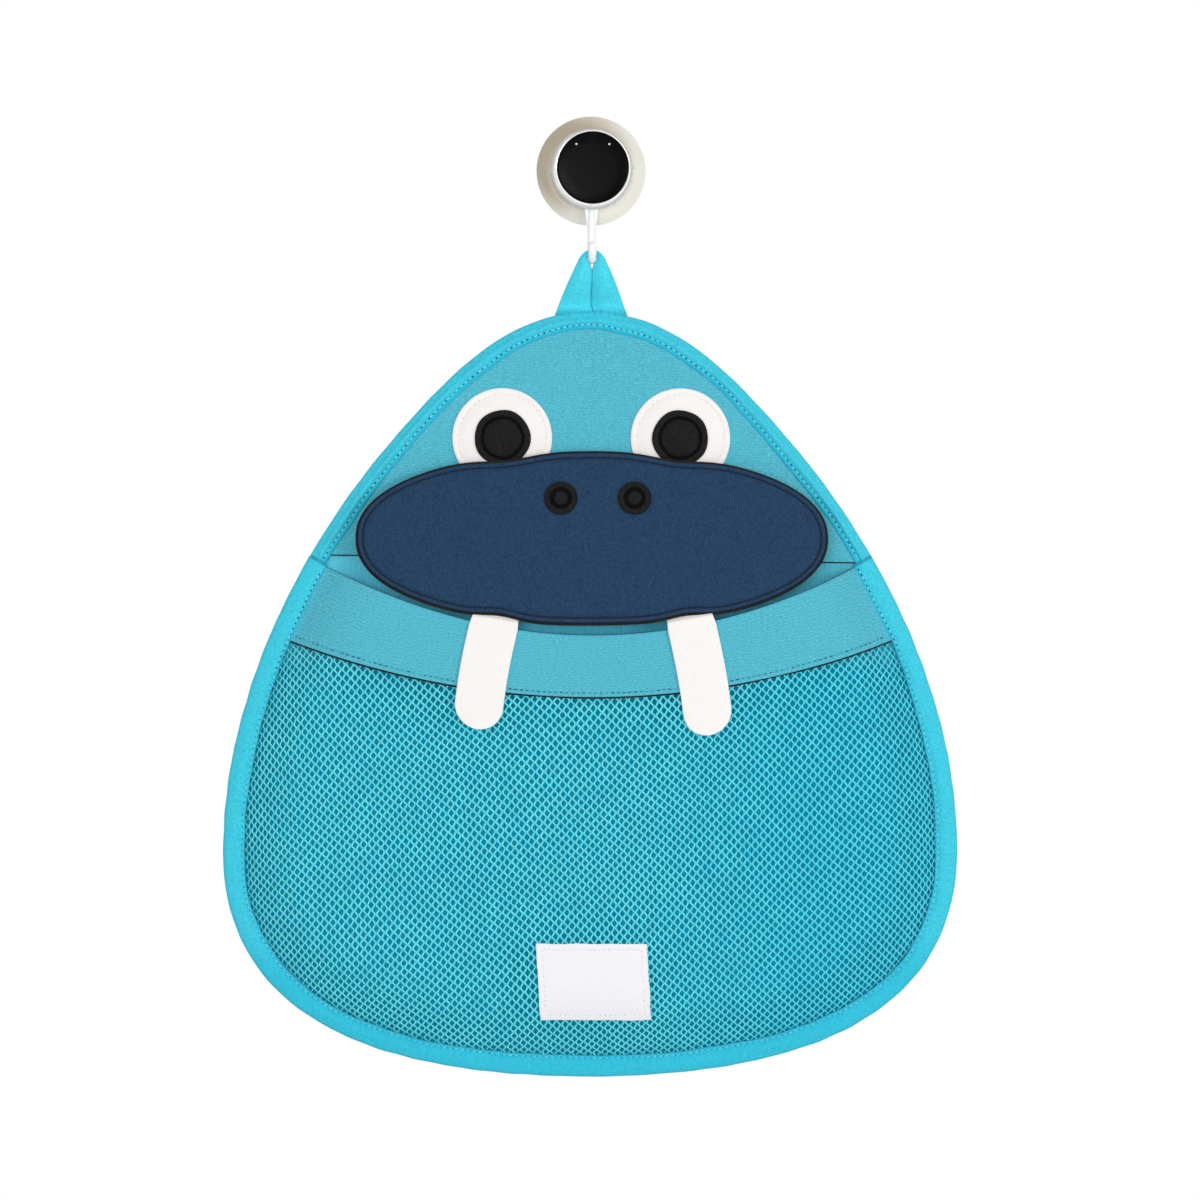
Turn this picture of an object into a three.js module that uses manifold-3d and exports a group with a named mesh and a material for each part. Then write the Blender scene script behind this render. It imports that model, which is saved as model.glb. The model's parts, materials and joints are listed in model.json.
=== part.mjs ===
// Bath toy organizer: a fabric bag with a net pocket and an animal face, hung by its loop on a twist-lock
// suction hook.
// The pieces are drawn in elevation, in millimetres: x to the right, y up, z out from the wall. The root group
// then turns them so that +Z is up and the front faces -Y. The origin is the middle of the cup, on the wall.

import * as THREE from "three";
import { mergeVertices } from "three/addons/utils/BufferGeometryUtils.js";
import Module from "manifold-3d";

const wasm = await Module();
wasm.setup();

// Clearances
const gap = 0.3; // between two pieces that touch
const wallGap = 0.5; // between the bag's back and the wall

// Suction cup
const cupRadius = 30;
const sealWidth = 6; // flat ring that seals on the wall
const sealThickness = 1.2;
const vacuumHeight = 2.5; // how far the locked hook lifts the cup's middle
const cupWall = 1.2;
const cupShoulderHeight = 4.5; // flat ring that the hook's base presses on
const cupShoulderMargin = 1; // that ring is wider than the base's rim by this much
const bossWall = 2.5;
const bossLip = 1.7; // rubber over the stud's flange

// Draw stud, moulded into the cup's boss
const studFlangeRadius = 8;
const studFlangeThickness = 2;
const studRadius = 3.5;
const studStandOut = 2; // the stud's end stands out of the nut by this much

// Hook base and hook
const baseRadius = 21.5;
const baseWall = 3;
const basePlate = 2.2;
const bossHeadroom = 1;
const hookDrop = 28; // from the base's edge down to the middle of the hook's seat
const hookRodRadius = 2.5;
const hookRootHalfWidth = 4.2;
const hookTaper = 9; // length of the wide root
const hookBend = 6; // radius of the J along the middle of the rod
const hookTipRise = 9.5; // the tip's end above the middle of the seat

// Knob
const washerRadius = 14;
const washerThickness = 1;
const nutRadius = 6.5; // across corners
const skirtRadius = 22.2;
const skirtThickness = 4.5;
const lugCount = 6;
const lugRise = 0.5;
const lugAngle = 4; // degrees
const lugSharpness = 40;
const bezelRadius = 20.9;
const bezelWall = 1.2;
const bezelDepth = 8.5;
const capRecess = 0.5; // the black face lies below the bezel's edge
const capPlate = 2;
const capWall = 1.5;

// Hanging loop
const loopDrop = 28; // from the middle of the hook's seat down to the bag's top edge
const loopHalfWidth = 20.6; // both legs side by side, at the bag
const loopSlit = 0.35; // half the slit between the legs
const loopThickness = 2.8;
const gatherWidth = 4.8; // the gathered strap beside the hook
const gatherThickness = 3; // the gathered strap on top of the hook
const gatherDepth = 4.2;
const partingStart = 0.55; // share of a leg's height where the legs begin to part for the hook
const partingEnd = 0.85; // and where they are fully parted, and as far out as the seat
const strapSquareness = 3.2; // exponent of the strap's superellipse section

// Bag outline: the right half, as distances from the middle of its top edge
const bagHeight = 420.5;
const bagHalfWidth = 202;
const widestDrop = 297;
const shoulderReach = 115.4;
const shoulderDrop = 78;
const shoulderSlope = 50.4; // degrees below level
const topReach = 44; // how far the top runs level
const shoulderRun = 61; // how far the shoulder runs straight, each way
const sideRunUp = 91.7;
const sideRunDown = 104.8;
const bottomReach = 88.5;

// Binding tape, a U in section, in an upper and a lower length
const bindingWidth = 11;
const bindingTape = 0.8;
const bindingJoinDrop = 138.5; // from the bag's top edge to where the two lengths meet

// Panels
const backThickness = 1.6;
const frontThickness = 1.6;
const netThickness = 1.2;
const faceDrop = 135.5; // from the bag's top edge to the face panel's cut edge
const bandSideDrop = 140.5;
const bandMiddleDrop = 177.5;
const bandSideHeight = 39;
const bandMiddleHeight = 35;

// Pocket
const pocketDepth = 18;
const pocketRamp = 38; // width over which the pocket's edge rises
const netPitchAcross = 18.6;
const netPitchUp = 22.4;
const netStrand = 3.6;
const netBorder = 2.5; // closed net beside the seams

// Face
const eyeRadius = 27.4;
const eyeThickness = 0.9;
const eyeSpread = 49; // from the middle line
const eyeDrop = 69.5;
const pupilRadius = 15.4;
const pupilThickness = 0.9;
const muzzleHalfWidth = 129.5;
const muzzleHeight = 97;
const muzzleDrop = 77; // from the bag's top edge to the muzzle's top seam
const muzzleRoundness = 2.2; // exponent of its superellipse
const muzzleBackingThickness = 2;
const muzzleFrontThickness = 1.2;
const muzzleRim = 2.4; // backing that shows round the front
const nostrilRadius = 9.2;
const nostrilThickness = 1;
const nostrilSpread = 20.2;
const nostrilDrop = 26; // from the muzzle's top seam
const tuskSpread = 53.5;
const tuskWidth = 26.7;
const tuskLength = 62;
const tuskThickness = 1.6;
const tuskSplay = 8; // degrees outward

// Label
const labelWidth = 60.5;
const labelHeight = 42;
const labelThickness = 0.5;
const labelRise = 31; // from the bag's lowest edge up to the label

// Fineness of the facets
const turnSteps = 40;
const roundSteps = 16;
const edgeSteps = 14;
const tipTurns = [0, 30, 60, 80]; // degrees round the hook's round tip
const noseTurns = [90, 126, 162, 198, 234, 270]; // degrees round the tape's fold
const bendSteps = 12;
const legSteps = 12;
const archSteps = 6;
const skirtSteps = 120;
const muzzleSteps = 64;
const bandColumns = 12;
const bandRows = 2;
const labelColumns = 10;
const labelRows = 8;

const degrees = Math.PI / 180;

// Depths out from the wall, from the cup to the knob
const flangeBack = vacuumHeight + cupWall + gap;
const flangeFront = flangeBack + studFlangeThickness;
const bossFront = flangeFront + gap + bossLip;
const rimBack = cupShoulderHeight + gap;
const plateBack = Math.max(bossFront, rimBack) + bossHeadroom;
const plateFront = plateBack + basePlate;
const washerBack = plateFront + gap;
const skirtBack = washerBack + washerThickness + gap;
const skirtFront = skirtBack + skirtThickness;
const bezelBack = skirtFront + gap;
const bezelFront = bezelBack + bezelDepth;
const studFront = skirtFront + studStandOut;

// Hook's seat
const stemOut = (rimBack + plateFront) / 2;
const seatOut = stemOut + hookBend;
const barHeight = -baseRadius - hookDrop;

// Depths of the bag's layers
const bagTop = barHeight - loopDrop;
const bindingBack = wallGap;
const backOut = bindingBack + bindingTape + gap;
const frontOut = backOut + backThickness + gap;
const bindingFront = frontOut + frontThickness + gap + bindingTape;
const bindingMiddle = (bindingBack + bindingFront) / 2;
const noseRadius = bindingFront - bindingMiddle;
const panelInset = noseRadius; // the panels end where the tape starts to turn
const seamInset = bindingWidth + gap;
const faceFront = frontOut + frontThickness;
const eyeOut = faceFront + gap;
const pupilOut = eyeOut + eyeThickness + gap;
const muzzleOut = pupilOut + pupilThickness + gap;
const pocketFront = faceFront + pocketDepth;

function colour(hex, roughness, metalness = 0) {
  return new THREE.MeshStandardMaterial({ color: hex, roughness, metalness });
}

function named(name, geometry, material) {
  const mesh = new THREE.Mesh(geometry, material);
  mesh.name = name;
  return mesh;
}

function at(x, y, z) {
  return new THREE.Vector3(x, y, z);
}

function geometryOf(corners, triangles) {
  const geometry = new THREE.BufferGeometry().setFromPoints(corners);
  geometry.setIndex(triangles.flat());
  return geometry;
}

function solidOf(geometry) {
  const bare = geometry.clone();
  bare.deleteAttribute("normal");
  bare.deleteAttribute("uv");
  const merged = mergeVertices(bare, 1e-4);
  const vertProperties = new Float32Array(merged.attributes.position.array);
  const triVerts = new Uint32Array(merged.index.array);
  return new wasm.Manifold(new wasm.Mesh({ numProp: 3, vertProperties, triVerts }));
}

function joined(first, second) {
  const mesh = solidOf(first).add(solidOf(second)).getMesh();
  const geometry = new THREE.BufferGeometry();
  geometry.setAttribute("position", new THREE.Float32BufferAttribute(mesh.vertProperties, 3));
  geometry.setIndex(new THREE.Uint32BufferAttribute(mesh.triVerts, 1));
  return geometry;
}

// A solid of revolution about the axis out from the wall, from [radius, out] pairs
function turned(profile) {
  const points = profile.map(([radius, out]) => new THREE.Vector2(radius, out));
  return new THREE.LatheGeometry(points, turnSteps).rotateX(Math.PI / 2);
}

function turnedRing(inner, outer, back, front) {
  return turned([[inner, back], [outer, back], [outer, front], [inner, front], [inner, back]]);
}

function disc(radius, back, thickness) {
  return turned([[0, back], [radius, back], [radius, back + thickness], [0, back + thickness]]);
}

function plate(points, back, thickness, holes = []) {
  const shape = new THREE.Shape(points);
  shape.holes = holes.map((hole) => new THREE.Path(hole));
  return new THREE.ExtrudeGeometry(shape, { depth: thickness, bevelEnabled: false }).translate(0, 0, back);
}

// Points round a circle or superellipse, counterclockwise
function roundOutline(halfWidth, halfHeight, steps, roundness = 2) {
  return Array.from({ length: steps }, (_, i) => {
    const angle = (2 * Math.PI * i) / steps;
    const across = Math.cos(angle);
    const up = Math.sin(angle);
    const x = halfWidth * Math.sign(across) * Math.abs(across) ** (2 / roundness);
    const y = halfHeight * Math.sign(up) * Math.abs(up) ** (2 / roundness);
    return new THREE.Vector2(x, y);
  });
}

// A closed skin over rings of corners that all have the section's outline; its two ends are filled
function loft(rings, section) {
  const count = section.length;
  const triangles = [];
  for (let r = 0; r + 1 < rings.length; r += 1) {
    for (let i = 0; i < count; i += 1) {
      const a = r * count + i;
      const b = r * count + ((i + 1) % count);
      triangles.push([a, b, b + count], [a, b + count, a + count]);
    }
  }
  const last = (rings.length - 1) * count;
  for (const [a, b, c] of THREE.ShapeUtils.triangulateShape(section, [])) {
    triangles.push([c, b, a], [a + last, b + last, c + last]);
  }
  return geometryOf(rings.flat(), triangles);
}

// A flat patch of triangles, counterclockwise from the front
function patchOf(points, triangles) {
  const turnedFront = triangles.map(([a, b, c]) => {
    const ab = points[b].clone().sub(points[a]);
    const ac = points[c].clone().sub(points[a]);
    return ab.cross(ac) > 0 ? [a, b, c] : [a, c, b];
  });
  return { points, triangles: turnedFront };
}

function filledPatch(outline, holes = []) {
  return patchOf([outline, ...holes].flat(), THREE.ShapeUtils.triangulateShape(outline, holes));
}

// A grid of points, row by row
function gridPatch(rows) {
  const columns = rows[0].length;
  const triangles = [];
  for (let r = 0; r + 1 < rows.length; r += 1) {
    for (let c = 0; c + 1 < columns; c += 1) {
      const a = r * columns + c;
      triangles.push([a, a + 1, a + columns + 1], [a, a + columns + 1, a + columns]);
    }
  }
  return patchOf(rows.flat(), triangles);
}

// A sheet over a patch: its back lies at outAt(point), and its open edges are closed
function thickened(patch, outAt, thickness) {
  const count = patch.points.length;
  const back = patch.points.map((p) => at(p.x, p.y, outAt(p)));
  const front = back.map((p) => at(p.x, p.y, p.z + thickness));
  const triangles = [];
  const rim = new Map();
  for (const [a, b, c] of patch.triangles) {
    triangles.push([c, b, a], [a + count, b + count, c + count]);
    for (const [from, to] of [[a, b], [b, c], [c, a]]) {
      if (!rim.delete(`${to} ${from}`)) {
        rim.set(`${from} ${to}`, [from, to]);
      }
    }
  }
  for (const [from, to] of rim.values()) {
    triangles.push([from, to, to + count], [from, to + count, from + count]);
  }
  return geometryOf([...back, ...front], triangles);
}

// The right half of the bag's outer edge, from the middle of its top to the middle of its bottom
function outerEdge() {
  const point = (x, drop) => new THREE.Vector2(x, bagTop - drop);
  const shoulder = point(shoulderReach, shoulderDrop);
  const slope = new THREE.Vector2(Math.cos(shoulderSlope * degrees), -Math.sin(shoulderSlope * degrees));
  const along = (run) => shoulder.clone().addScaledVector(slope, run);
  const widest = point(bagHalfWidth, widestDrop);
  const curves = [
    [point(0, 0), point(topReach, 0), along(-shoulderRun), shoulder],
    [shoulder, along(shoulderRun), point(bagHalfWidth, widestDrop - sideRunUp), widest],
    [widest, point(bagHalfWidth, widestDrop + sideRunDown), point(bottomReach, bagHeight), point(0, bagHeight)],
  ];
  return curves.flatMap((handles, i) => {
    const points = new THREE.CubicBezierCurve(...handles).getPoints(edgeSteps);
    return i === 0 ? points : points.slice(1);
  });
}

// Each point of that edge with the direction into the bag
function edgeFrames() {
  const points = outerEdge();
  const last = points.length - 1;
  return points.map((point, i) => {
    const along = points[Math.min(i + 1, last)].clone().sub(points[Math.max(i - 1, 0)]).normalize();
    if (i === 0 || i === last) {
      along.set(i === 0 ? 1 : -1, 0);
    }
    return { point, inward: new THREE.Vector2(along.y, -along.x) };
  });
}

const edge = edgeFrames();

function mirrored(point) {
  return new THREE.Vector2(-point.x, point.y);
}

function insetEdge(inset) {
  return edge.map(({ point, inward }) => point.clone().addScaledVector(inward, inset));
}

// Where the inset edge passes a height, as a frame between its neighbours
function frameAt(height, inset = 0) {
  const points = insetEdge(inset);
  const i = points.findIndex((point) => point.y <= height);
  const share = (points[i - 1].y - height) / (points[i - 1].y - points[i].y);
  return {
    point: points[i - 1].clone().lerp(points[i], share),
    inward: edge[i - 1].inward.clone().lerp(edge[i].inward, share).normalize(),
  };
}

function distanceToEdge(point) {
  const beside = new THREE.Vector2(Math.abs(point.x), point.y);
  let nearest = Infinity;
  for (let i = 1; i < edge.length; i += 1) {
    const start = edge[i - 1].point;
    const run = edge[i].point.clone().sub(start);
    const share = THREE.MathUtils.clamp(beside.clone().sub(start).dot(run) / run.lengthSq(), 0, 1);
    nearest = Math.min(nearest, beside.distanceTo(start.clone().addScaledVector(run, share)));
  }
  return nearest;
}

// How far the pocket stands out of the front layer
function bulgeAt(point) {
  const rise = THREE.MathUtils.clamp((distanceToEdge(point) - seamInset) / pocketRamp, 0, 1);
  return pocketDepth * (1 - (1 - rise) ** 2);
}

function suctionCup() {
  const sealInner = cupRadius - sealWidth;
  const pocket = studFlangeRadius + gap;
  const bossRadius = pocket + bossWall;
  const bore = studRadius + gap;
  const profile = [
    [0, vacuumHeight],
    [bossRadius, vacuumHeight],
    [sealInner, 0],
    [cupRadius, 0],
    [cupRadius, sealThickness],
    [baseRadius + cupShoulderMargin, cupShoulderHeight],
    [bossRadius, cupShoulderHeight],
    [bossRadius, bossFront],
    [bore, bossFront],
    [bore, flangeFront + gap],
    [pocket, flangeFront + gap],
    [pocket, flangeBack - gap],
    [0, flangeBack - gap],
  ];
  return named("suction_cup", turned(profile), colour(0xd6ccba, 0.35));
}

function drawStud() {
  const profile = [
    [0, flangeBack],
    [studFlangeRadius, flangeBack],
    [studFlangeRadius, flangeFront],
    [studRadius, flangeFront],
    [studRadius, studFront],
    [0, studFront],
  ];
  return named("draw_stud", turned(profile), colour(0xb9bcc0, 0.35, 0.9));
}

// The rod of the hook: a wide root in the base's wall, a straight stem, a J and a round tip
function hookRod() {
  const circle = roundOutline(1, 1, roundSteps);
  const ring = (height, out, pitch, halfWidth, halfDepth) =>
    circle.map((p) => {
      const reach = p.y * halfDepth;
      return at(p.x * halfWidth, height + reach * Math.sin(pitch), out + reach * Math.cos(pitch));
    });
  const rootHeight = -baseRadius + baseWall / 2;
  const bendHeight = barHeight + hookBend;
  const rings = [
    ring(rootHeight, stemOut, 0, hookRootHalfWidth, hookRodRadius),
    ring(-baseRadius - gap, stemOut, 0, hookRootHalfWidth, hookRodRadius),
    ring(-baseRadius - hookTaper, stemOut, 0, hookRodRadius, hookRodRadius),
  ];
  for (let i = 0; i <= bendSteps; i += 1) {
    const turn = (Math.PI * i) / bendSteps;
    const height = bendHeight - hookBend * Math.sin(turn);
    rings.push(ring(height, seatOut - hookBend * Math.cos(turn), turn, hookRodRadius, hookRodRadius));
  }
  const tipOut = seatOut + hookBend;
  const tipEnd = barHeight + hookTipRise;
  for (const turn of tipTurns) {
    const height = tipEnd - hookRodRadius * (1 - Math.sin(turn * degrees));
    const radius = hookRodRadius * Math.cos(turn * degrees);
    rings.push(ring(height, tipOut, Math.PI, radius, radius));
  }
  return loft(rings, circle);
}

function hookBase() {
  const inner = baseRadius - baseWall;
  const bore = studRadius + gap;
  const bell = turned([
    [inner, rimBack],
    [baseRadius, rimBack],
    [baseRadius, plateFront],
    [bore, plateFront],
    [bore, plateBack],
    [inner, plateBack],
    [inner, rimBack],
  ]);
  return named("hook_base", joined(bell, hookRod()), colour(0xf4f4f2, 0.3));
}

function thrustWasher() {
  const geometry = turnedRing(studRadius + gap, washerRadius, washerBack, washerBack + washerThickness);
  return named("thrust_washer", geometry, colour(0xe8e6e0, 0.5));
}

function threadNut() {
  const bore = roundOutline(studRadius + gap, studRadius + gap, turnSteps);
  const geometry = plate(roundOutline(nutRadius, nutRadius, 6), skirtBack, skirtThickness, [bore]);
  return named("thread_nut", geometry, colour(0xb58d3d, 0.4, 0.9));
}

function knobSkirt() {
  const outline = Array.from({ length: skirtSteps }, (_, i) => {
    const angle = (2 * Math.PI * i) / skirtSteps;
    const wave = Math.max(0, Math.cos(lugCount * (angle - lugAngle * degrees)));
    const radius = skirtRadius + lugRise * wave ** lugSharpness;
    return new THREE.Vector2(radius * Math.cos(angle), radius * Math.sin(angle));
  });
  const nutPocket = nutRadius + gap / Math.cos(Math.PI / 6);
  const geometry = plate(outline, skirtBack, skirtThickness, [roundOutline(nutPocket, nutPocket, 6)]);
  return named("knob_skirt", geometry, colour(0xd9d9d6, 0.2));
}

function bezelRing() {
  const geometry = turnedRing(bezelRadius - bezelWall, bezelRadius, bezelBack, bezelFront);
  return named("bezel_ring", geometry, colour(0xd8dadc, 0.12, 1));
}

function knobCap() {
  const radius = bezelRadius - bezelWall - gap;
  const front = bezelFront - capRecess;
  const profile = [
    [0, front - capPlate],
    [radius - capWall, front - capPlate],
    [radius - capWall, bezelBack],
    [radius, bezelBack],
    [radius, front],
    [0, front],
  ];
  return named("knob_cap", turned(profile), colour(0x1b1b1b, 0.35));
}

// One strap: it leaves the bag flat, is drawn together below the hook and passes over its seat
function hangingLoop() {
  const section = roundOutline(1, 1, roundSteps, strapSquareness);
  const eye = hookRodRadius + gap;
  const legEnd = bagTop + gap;
  const smooth = THREE.MathUtils.smoothstep;
  const ring = (x, height, out, turn, halfWidth, halfDepth) =>
    section.map((p) => {
      const reach = p.x * halfWidth;
      return at(x + reach * Math.cos(turn), height + reach * Math.sin(turn), out - p.y * halfDepth);
    });
  const half = [];
  for (let i = 0; i < legSteps; i += 1) {
    const share = i / legSteps;
    const inner = loopSlit + (eye + gap - loopSlit) * smooth(share, partingStart, partingEnd);
    const outer = loopHalfWidth + (eye + gatherWidth - loopHalfWidth) * share;
    half.push({
      x: (inner + outer) / 2,
      height: legEnd + (barHeight - legEnd) * share,
      out: bindingMiddle + (seatOut - bindingMiddle) * smooth(share, 0, partingEnd),
      turn: 0,
      halfWidth: (outer - inner) / 2,
      halfDepth: (loopThickness + (gatherDepth - loopThickness) * share) / 2,
    });
  }
  for (let i = 0; i <= archSteps; i += 1) {
    const share = i / archSteps;
    const turn = (share * Math.PI) / 2;
    const halfWidth = (gatherWidth + (gatherThickness - gatherWidth) * share) / 2;
    const radius = eye + gap * (1 - share) + halfWidth;
    half.push({
      x: radius * Math.cos(turn),
      height: barHeight + radius * Math.sin(turn),
      out: seatOut,
      turn,
      halfWidth,
      halfDepth: gatherDepth / 2,
    });
  }
  const right = half.map((s) => ring(s.x, s.height, s.out, s.turn, s.halfWidth, s.halfDepth));
  const left = half
    .slice(0, -1)
    .reverse()
    .map((s) => ring(-s.x, s.height, s.out, Math.PI - s.turn, s.halfWidth, s.halfDepth));
  return named("hanging_loop", loft([...right, ...left], section), colour(0x3ecae3, 0.8));
}

function backPanel() {
  const right = insetEdge(panelInset);
  const outline = [...right, ...right.slice(1, -1).reverse().map(mirrored)];
  const geometry = thickened(filledPatch(outline), () => backOut, backThickness);
  return named("back_panel", geometry, colour(0x47a6ba, 0.9));
}

function facePanel() {
  const cut = bagTop - faceDrop;
  const right = insetEdge(panelInset).filter((point) => point.y > cut);
  right.push(frameAt(cut, panelInset).point);
  const outline = [...right, ...right.slice(1).reverse().map(mirrored)];
  const geometry = thickened(filledPatch(outline), () => frontOut, frontThickness);
  return named("face_panel", geometry, colour(0x57b8cc, 0.85));
}

// Where a curve that runs out from the middle line comes as near to the bag's edge as the binding's seam
function seamReach(pointAt, end) {
  let inner = 0;
  let outer = end;
  while (outer - inner > gap / 100) {
    const middle = (inner + outer) / 2;
    if (distanceToEdge(pointAt(middle)) > seamInset) {
      inner = middle;
    } else {
      outer = middle;
    }
  }
  return outer;
}

// The band's points from its lower to its upper edge; both edges sag to the middle
function bandPoints() {
  return Array.from({ length: bandRows + 1 }, (_, row) => {
    const share = row / bandRows;
    const sideDrop = bandSideDrop + bandSideHeight * (1 - share);
    const middleDrop = bandMiddleDrop + bandMiddleHeight * (1 - share);
    const end = frameAt(bagTop - sideDrop, panelInset).point.x;
    const sagAt = (x) => middleDrop + (sideDrop - middleDrop) * (x / end) ** 2;
    const pointAt = (x) => new THREE.Vector2(x, bagTop - sagAt(x));
    const seam = seamReach(pointAt, end);
    const across = Array.from({ length: bandColumns + 1 }, (_, i) => seam * ((2 * i) / bandColumns - 1));
    return [-end, ...across, end].map(pointAt);
  });
}

function pocketBand() {
  const geometry = thickened(gridPatch(bandPoints()), (p) => frontOut + bulgeAt(p), frontThickness);
  return named("pocket_band", geometry, colour(0x57b8cc, 0.85));
}

// Height of a line of points, which runs to the right, at a place across
function heightOn(line, x) {
  const i = line.findIndex((point) => point.x >= x);
  if (i <= 0) {
    return line[0].y;
  }
  const run = (x - line[i - 1].x) / (line[i].x - line[i - 1].x);
  return line[i - 1].y + (line[i].y - line[i - 1].y) * run;
}

// Diamond openings in staggered rows, each with the strands' width left round it
function netHoles(topEdge) {
  const halfAcross = netPitchAcross / 2;
  const halfUp = netPitchUp / 2;
  const sideDistance = (halfAcross * halfUp) / Math.hypot(halfAcross, halfUp);
  const share = 1 - netStrand / 2 / sideDistance;
  const corners = [[share, 0], [0, share], [-share, 0], [0, -share]];
  const rows = Math.ceil(bagHeight / halfUp);
  const columns = Math.ceil(bagHalfWidth / netPitchAcross);
  const holes = [];
  for (let row = 0; row < rows; row += 1) {
    for (let column = -columns; column <= columns; column += 1) {
      const x = (column + (row % 2) / 2) * netPitchAcross;
      const y = bagTop - bagHeight + row * halfUp;
      const hole = corners.map(([u, v]) => new THREE.Vector2(x + u * halfAcross, y + v * halfUp));
      const inBag = hole.every((p) => p.y > bagTop - bagHeight && Math.abs(p.x) < frameWidth(p.y));
      const clear = hole.every((p) => distanceToEdge(p) > seamInset + netBorder);
      if (inBag && clear && hole.every((p) => p.y < heightOn(topEdge, p.x) - netBorder)) {
        holes.push(hole);
      }
    }
  }
  return holes;
}

function frameWidth(height) {
  return height < bagTop ? frameAt(height).point.x : 0;
}

// The net hangs below the band; its plain border lies flat in the binding
function pocketNet() {
  const top = bandPoints()[0].map((p) => new THREE.Vector2(p.x, p.y - gap));
  const below = edge.map(({ point }) => point.y < bagTop - bandSideDrop - bandSideHeight - bindingWidth / 2);
  const side = (inset, corner) => {
    const right = [corner, ...insetEdge(inset).filter((_, i) => below[i])];
    return [...right, ...right.slice(0, -1).reverse().map(mirrored)];
  };
  const border = side(panelInset, top.at(-1));
  const seam = side(seamInset, top.at(-2));
  const outline = [...seam, ...top.slice(2, -2)];
  const field = filledPatch(outline, netHoles(top));
  const count = field.points.length;
  const strip = [];
  for (let i = 0; i + 1 < seam.length; i += 1) {
    strip.push([i, i + 1, count + i + 1], [i, count + i + 1, count + i]);
  }
  const whole = patchOf([...field.points, ...border], [...field.triangles, ...strip]);
  const geometry = thickened(whole, (p) => frontOut + bulgeAt(p), netThickness);
  return named("pocket_net", geometry, colour(0x3bacc2, 0.85));
}

// The folded tape's section as [distance into the bag, out] pairs, round its nose
function bindingSection() {
  const nose = (radius, turns) =>
    turns.map((turn) => {
      const angle = turn * degrees;
      return [noseRadius + radius * Math.cos(angle), bindingMiddle + radius * Math.sin(angle)];
    });
  const outside = [[bindingWidth, bindingFront], ...nose(noseRadius, noseTurns), [bindingWidth, bindingBack]];
  const inside = [
    [bindingWidth, bindingBack + bindingTape],
    ...nose(noseRadius - bindingTape, noseTurns.toReversed()),
    [bindingWidth, bindingFront - bindingTape],
  ];
  return [...outside, ...inside].map(([inset, out]) => new THREE.Vector2(inset, out));
}

function binding(name, frames) {
  const section = bindingSection();
  const rings = frames.map(({ point, inward }) =>
    section.map((s) => at(point.x + s.x * inward.x, point.y + s.x * inward.y, s.y)),
  );
  return named(name, loft(rings, section), colour(0x40c4dc, 0.8));
}

function mirroredFrame({ point, inward }) {
  return { point: mirrored(point), inward: mirrored(inward) };
}

function bindings() {
  const join = bagTop - bindingJoinDrop;
  const upper = [...edge.filter(({ point }) => point.y > join + bindingWidth / 2), frameAt(join + gap)];
  const lower = [frameAt(join - gap), ...edge.filter(({ point }) => point.y < join - bindingWidth / 2)];
  const over = [...upper.toReversed(), ...upper.slice(1).map(mirroredFrame)];
  const under = [...lower.slice(0, -1).map(mirroredFrame), ...lower.toReversed()];
  return [binding("top_binding", over), binding("bottom_binding", under)];
}

function eyes() {
  const pieces = [];
  for (const [side, x] of [["left", -eyeSpread], ["right", eyeSpread]]) {
    const eye = named(`eye_${side}`, disc(eyeRadius, eyeOut, eyeThickness), colour(0xfbf6f2, 0.8));
    const pupil = named(`pupil_${side}`, disc(pupilRadius, pupilOut, pupilThickness), colour(0x222223, 0.7));
    for (const piece of [eye, pupil]) {
      piece.position.set(x, bagTop - eyeDrop, 0);
      pieces.push(piece);
    }
  }
  return pieces;
}

function muzzleOutline(inset) {
  const halfHeight = muzzleHeight / 2;
  const outline = roundOutline(muzzleHalfWidth - inset, halfHeight - inset, muzzleSteps, muzzleRoundness);
  return outline.map((p) => new THREE.Vector2(p.x, p.y - halfHeight));
}

// The muzzle hangs from its top seam and leans out over the pocket's mouth, in front of any band that it covers
function leanOverPocket() {
  const reachOut = pocketFront + gap - muzzleOut;
  const lean = Math.asin(reachOut / muzzleHeight);
  const bandTop = bandPoints().at(-1);
  const leansOverBand = muzzleOutline(0)
    .map((p) => ({ edgeDrop: -p.y * Math.cos(lean), bandDrop: bagTop - muzzleDrop - heightOn(bandTop, p.x) }))
    .filter(({ edgeDrop, bandDrop }) => edgeDrop > bandDrop - gap)
    .map(({ bandDrop }) => Math.atan(reachOut / (bandDrop - gap)));
  return Math.max(lean, ...leansOverBand);
}

const muzzleLean = leanOverPocket();

function muzzle() {
  const hinge = new THREE.Group();
  const frontOfBacking = muzzleBackingThickness + gap;
  const backing = plate(muzzleOutline(0), 0, muzzleBackingThickness);
  const front = plate(muzzleOutline(muzzleRim), frontOfBacking, muzzleFrontThickness);
  hinge.add(named("muzzle_backing", backing, colour(0x141416, 0.8)));
  hinge.add(named("muzzle_front", front, colour(0x294462, 0.85)));
  for (const [side, x] of [["left", -nostrilSpread], ["right", nostrilSpread]]) {
    const geometry = disc(nostrilRadius, frontOfBacking + muzzleFrontThickness + gap, nostrilThickness);
    const nostril = named(`nostril_${side}`, geometry, colour(0x1d1d1f, 0.75));
    nostril.position.set(x, -nostrilDrop, 0);
    hinge.add(nostril);
  }
  hinge.position.set(0, bagTop - muzzleDrop, muzzleOut);
  hinge.rotation.x = -muzzleLean;
  return hinge;
}

// A tusk hangs from the muzzle's lower edge, in front of the band
function tuskOutline() {
  const radius = tuskWidth / 2;
  const shape = new THREE.Shape();
  shape.moveTo(radius, 0);
  shape.lineTo(-radius, 0);
  shape.lineTo(-radius, radius - tuskLength);
  shape.absarc(0, radius - tuskLength, radius, Math.PI, 2 * Math.PI, false);
  return shape.getPoints(roundSteps / 2);
}

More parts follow.
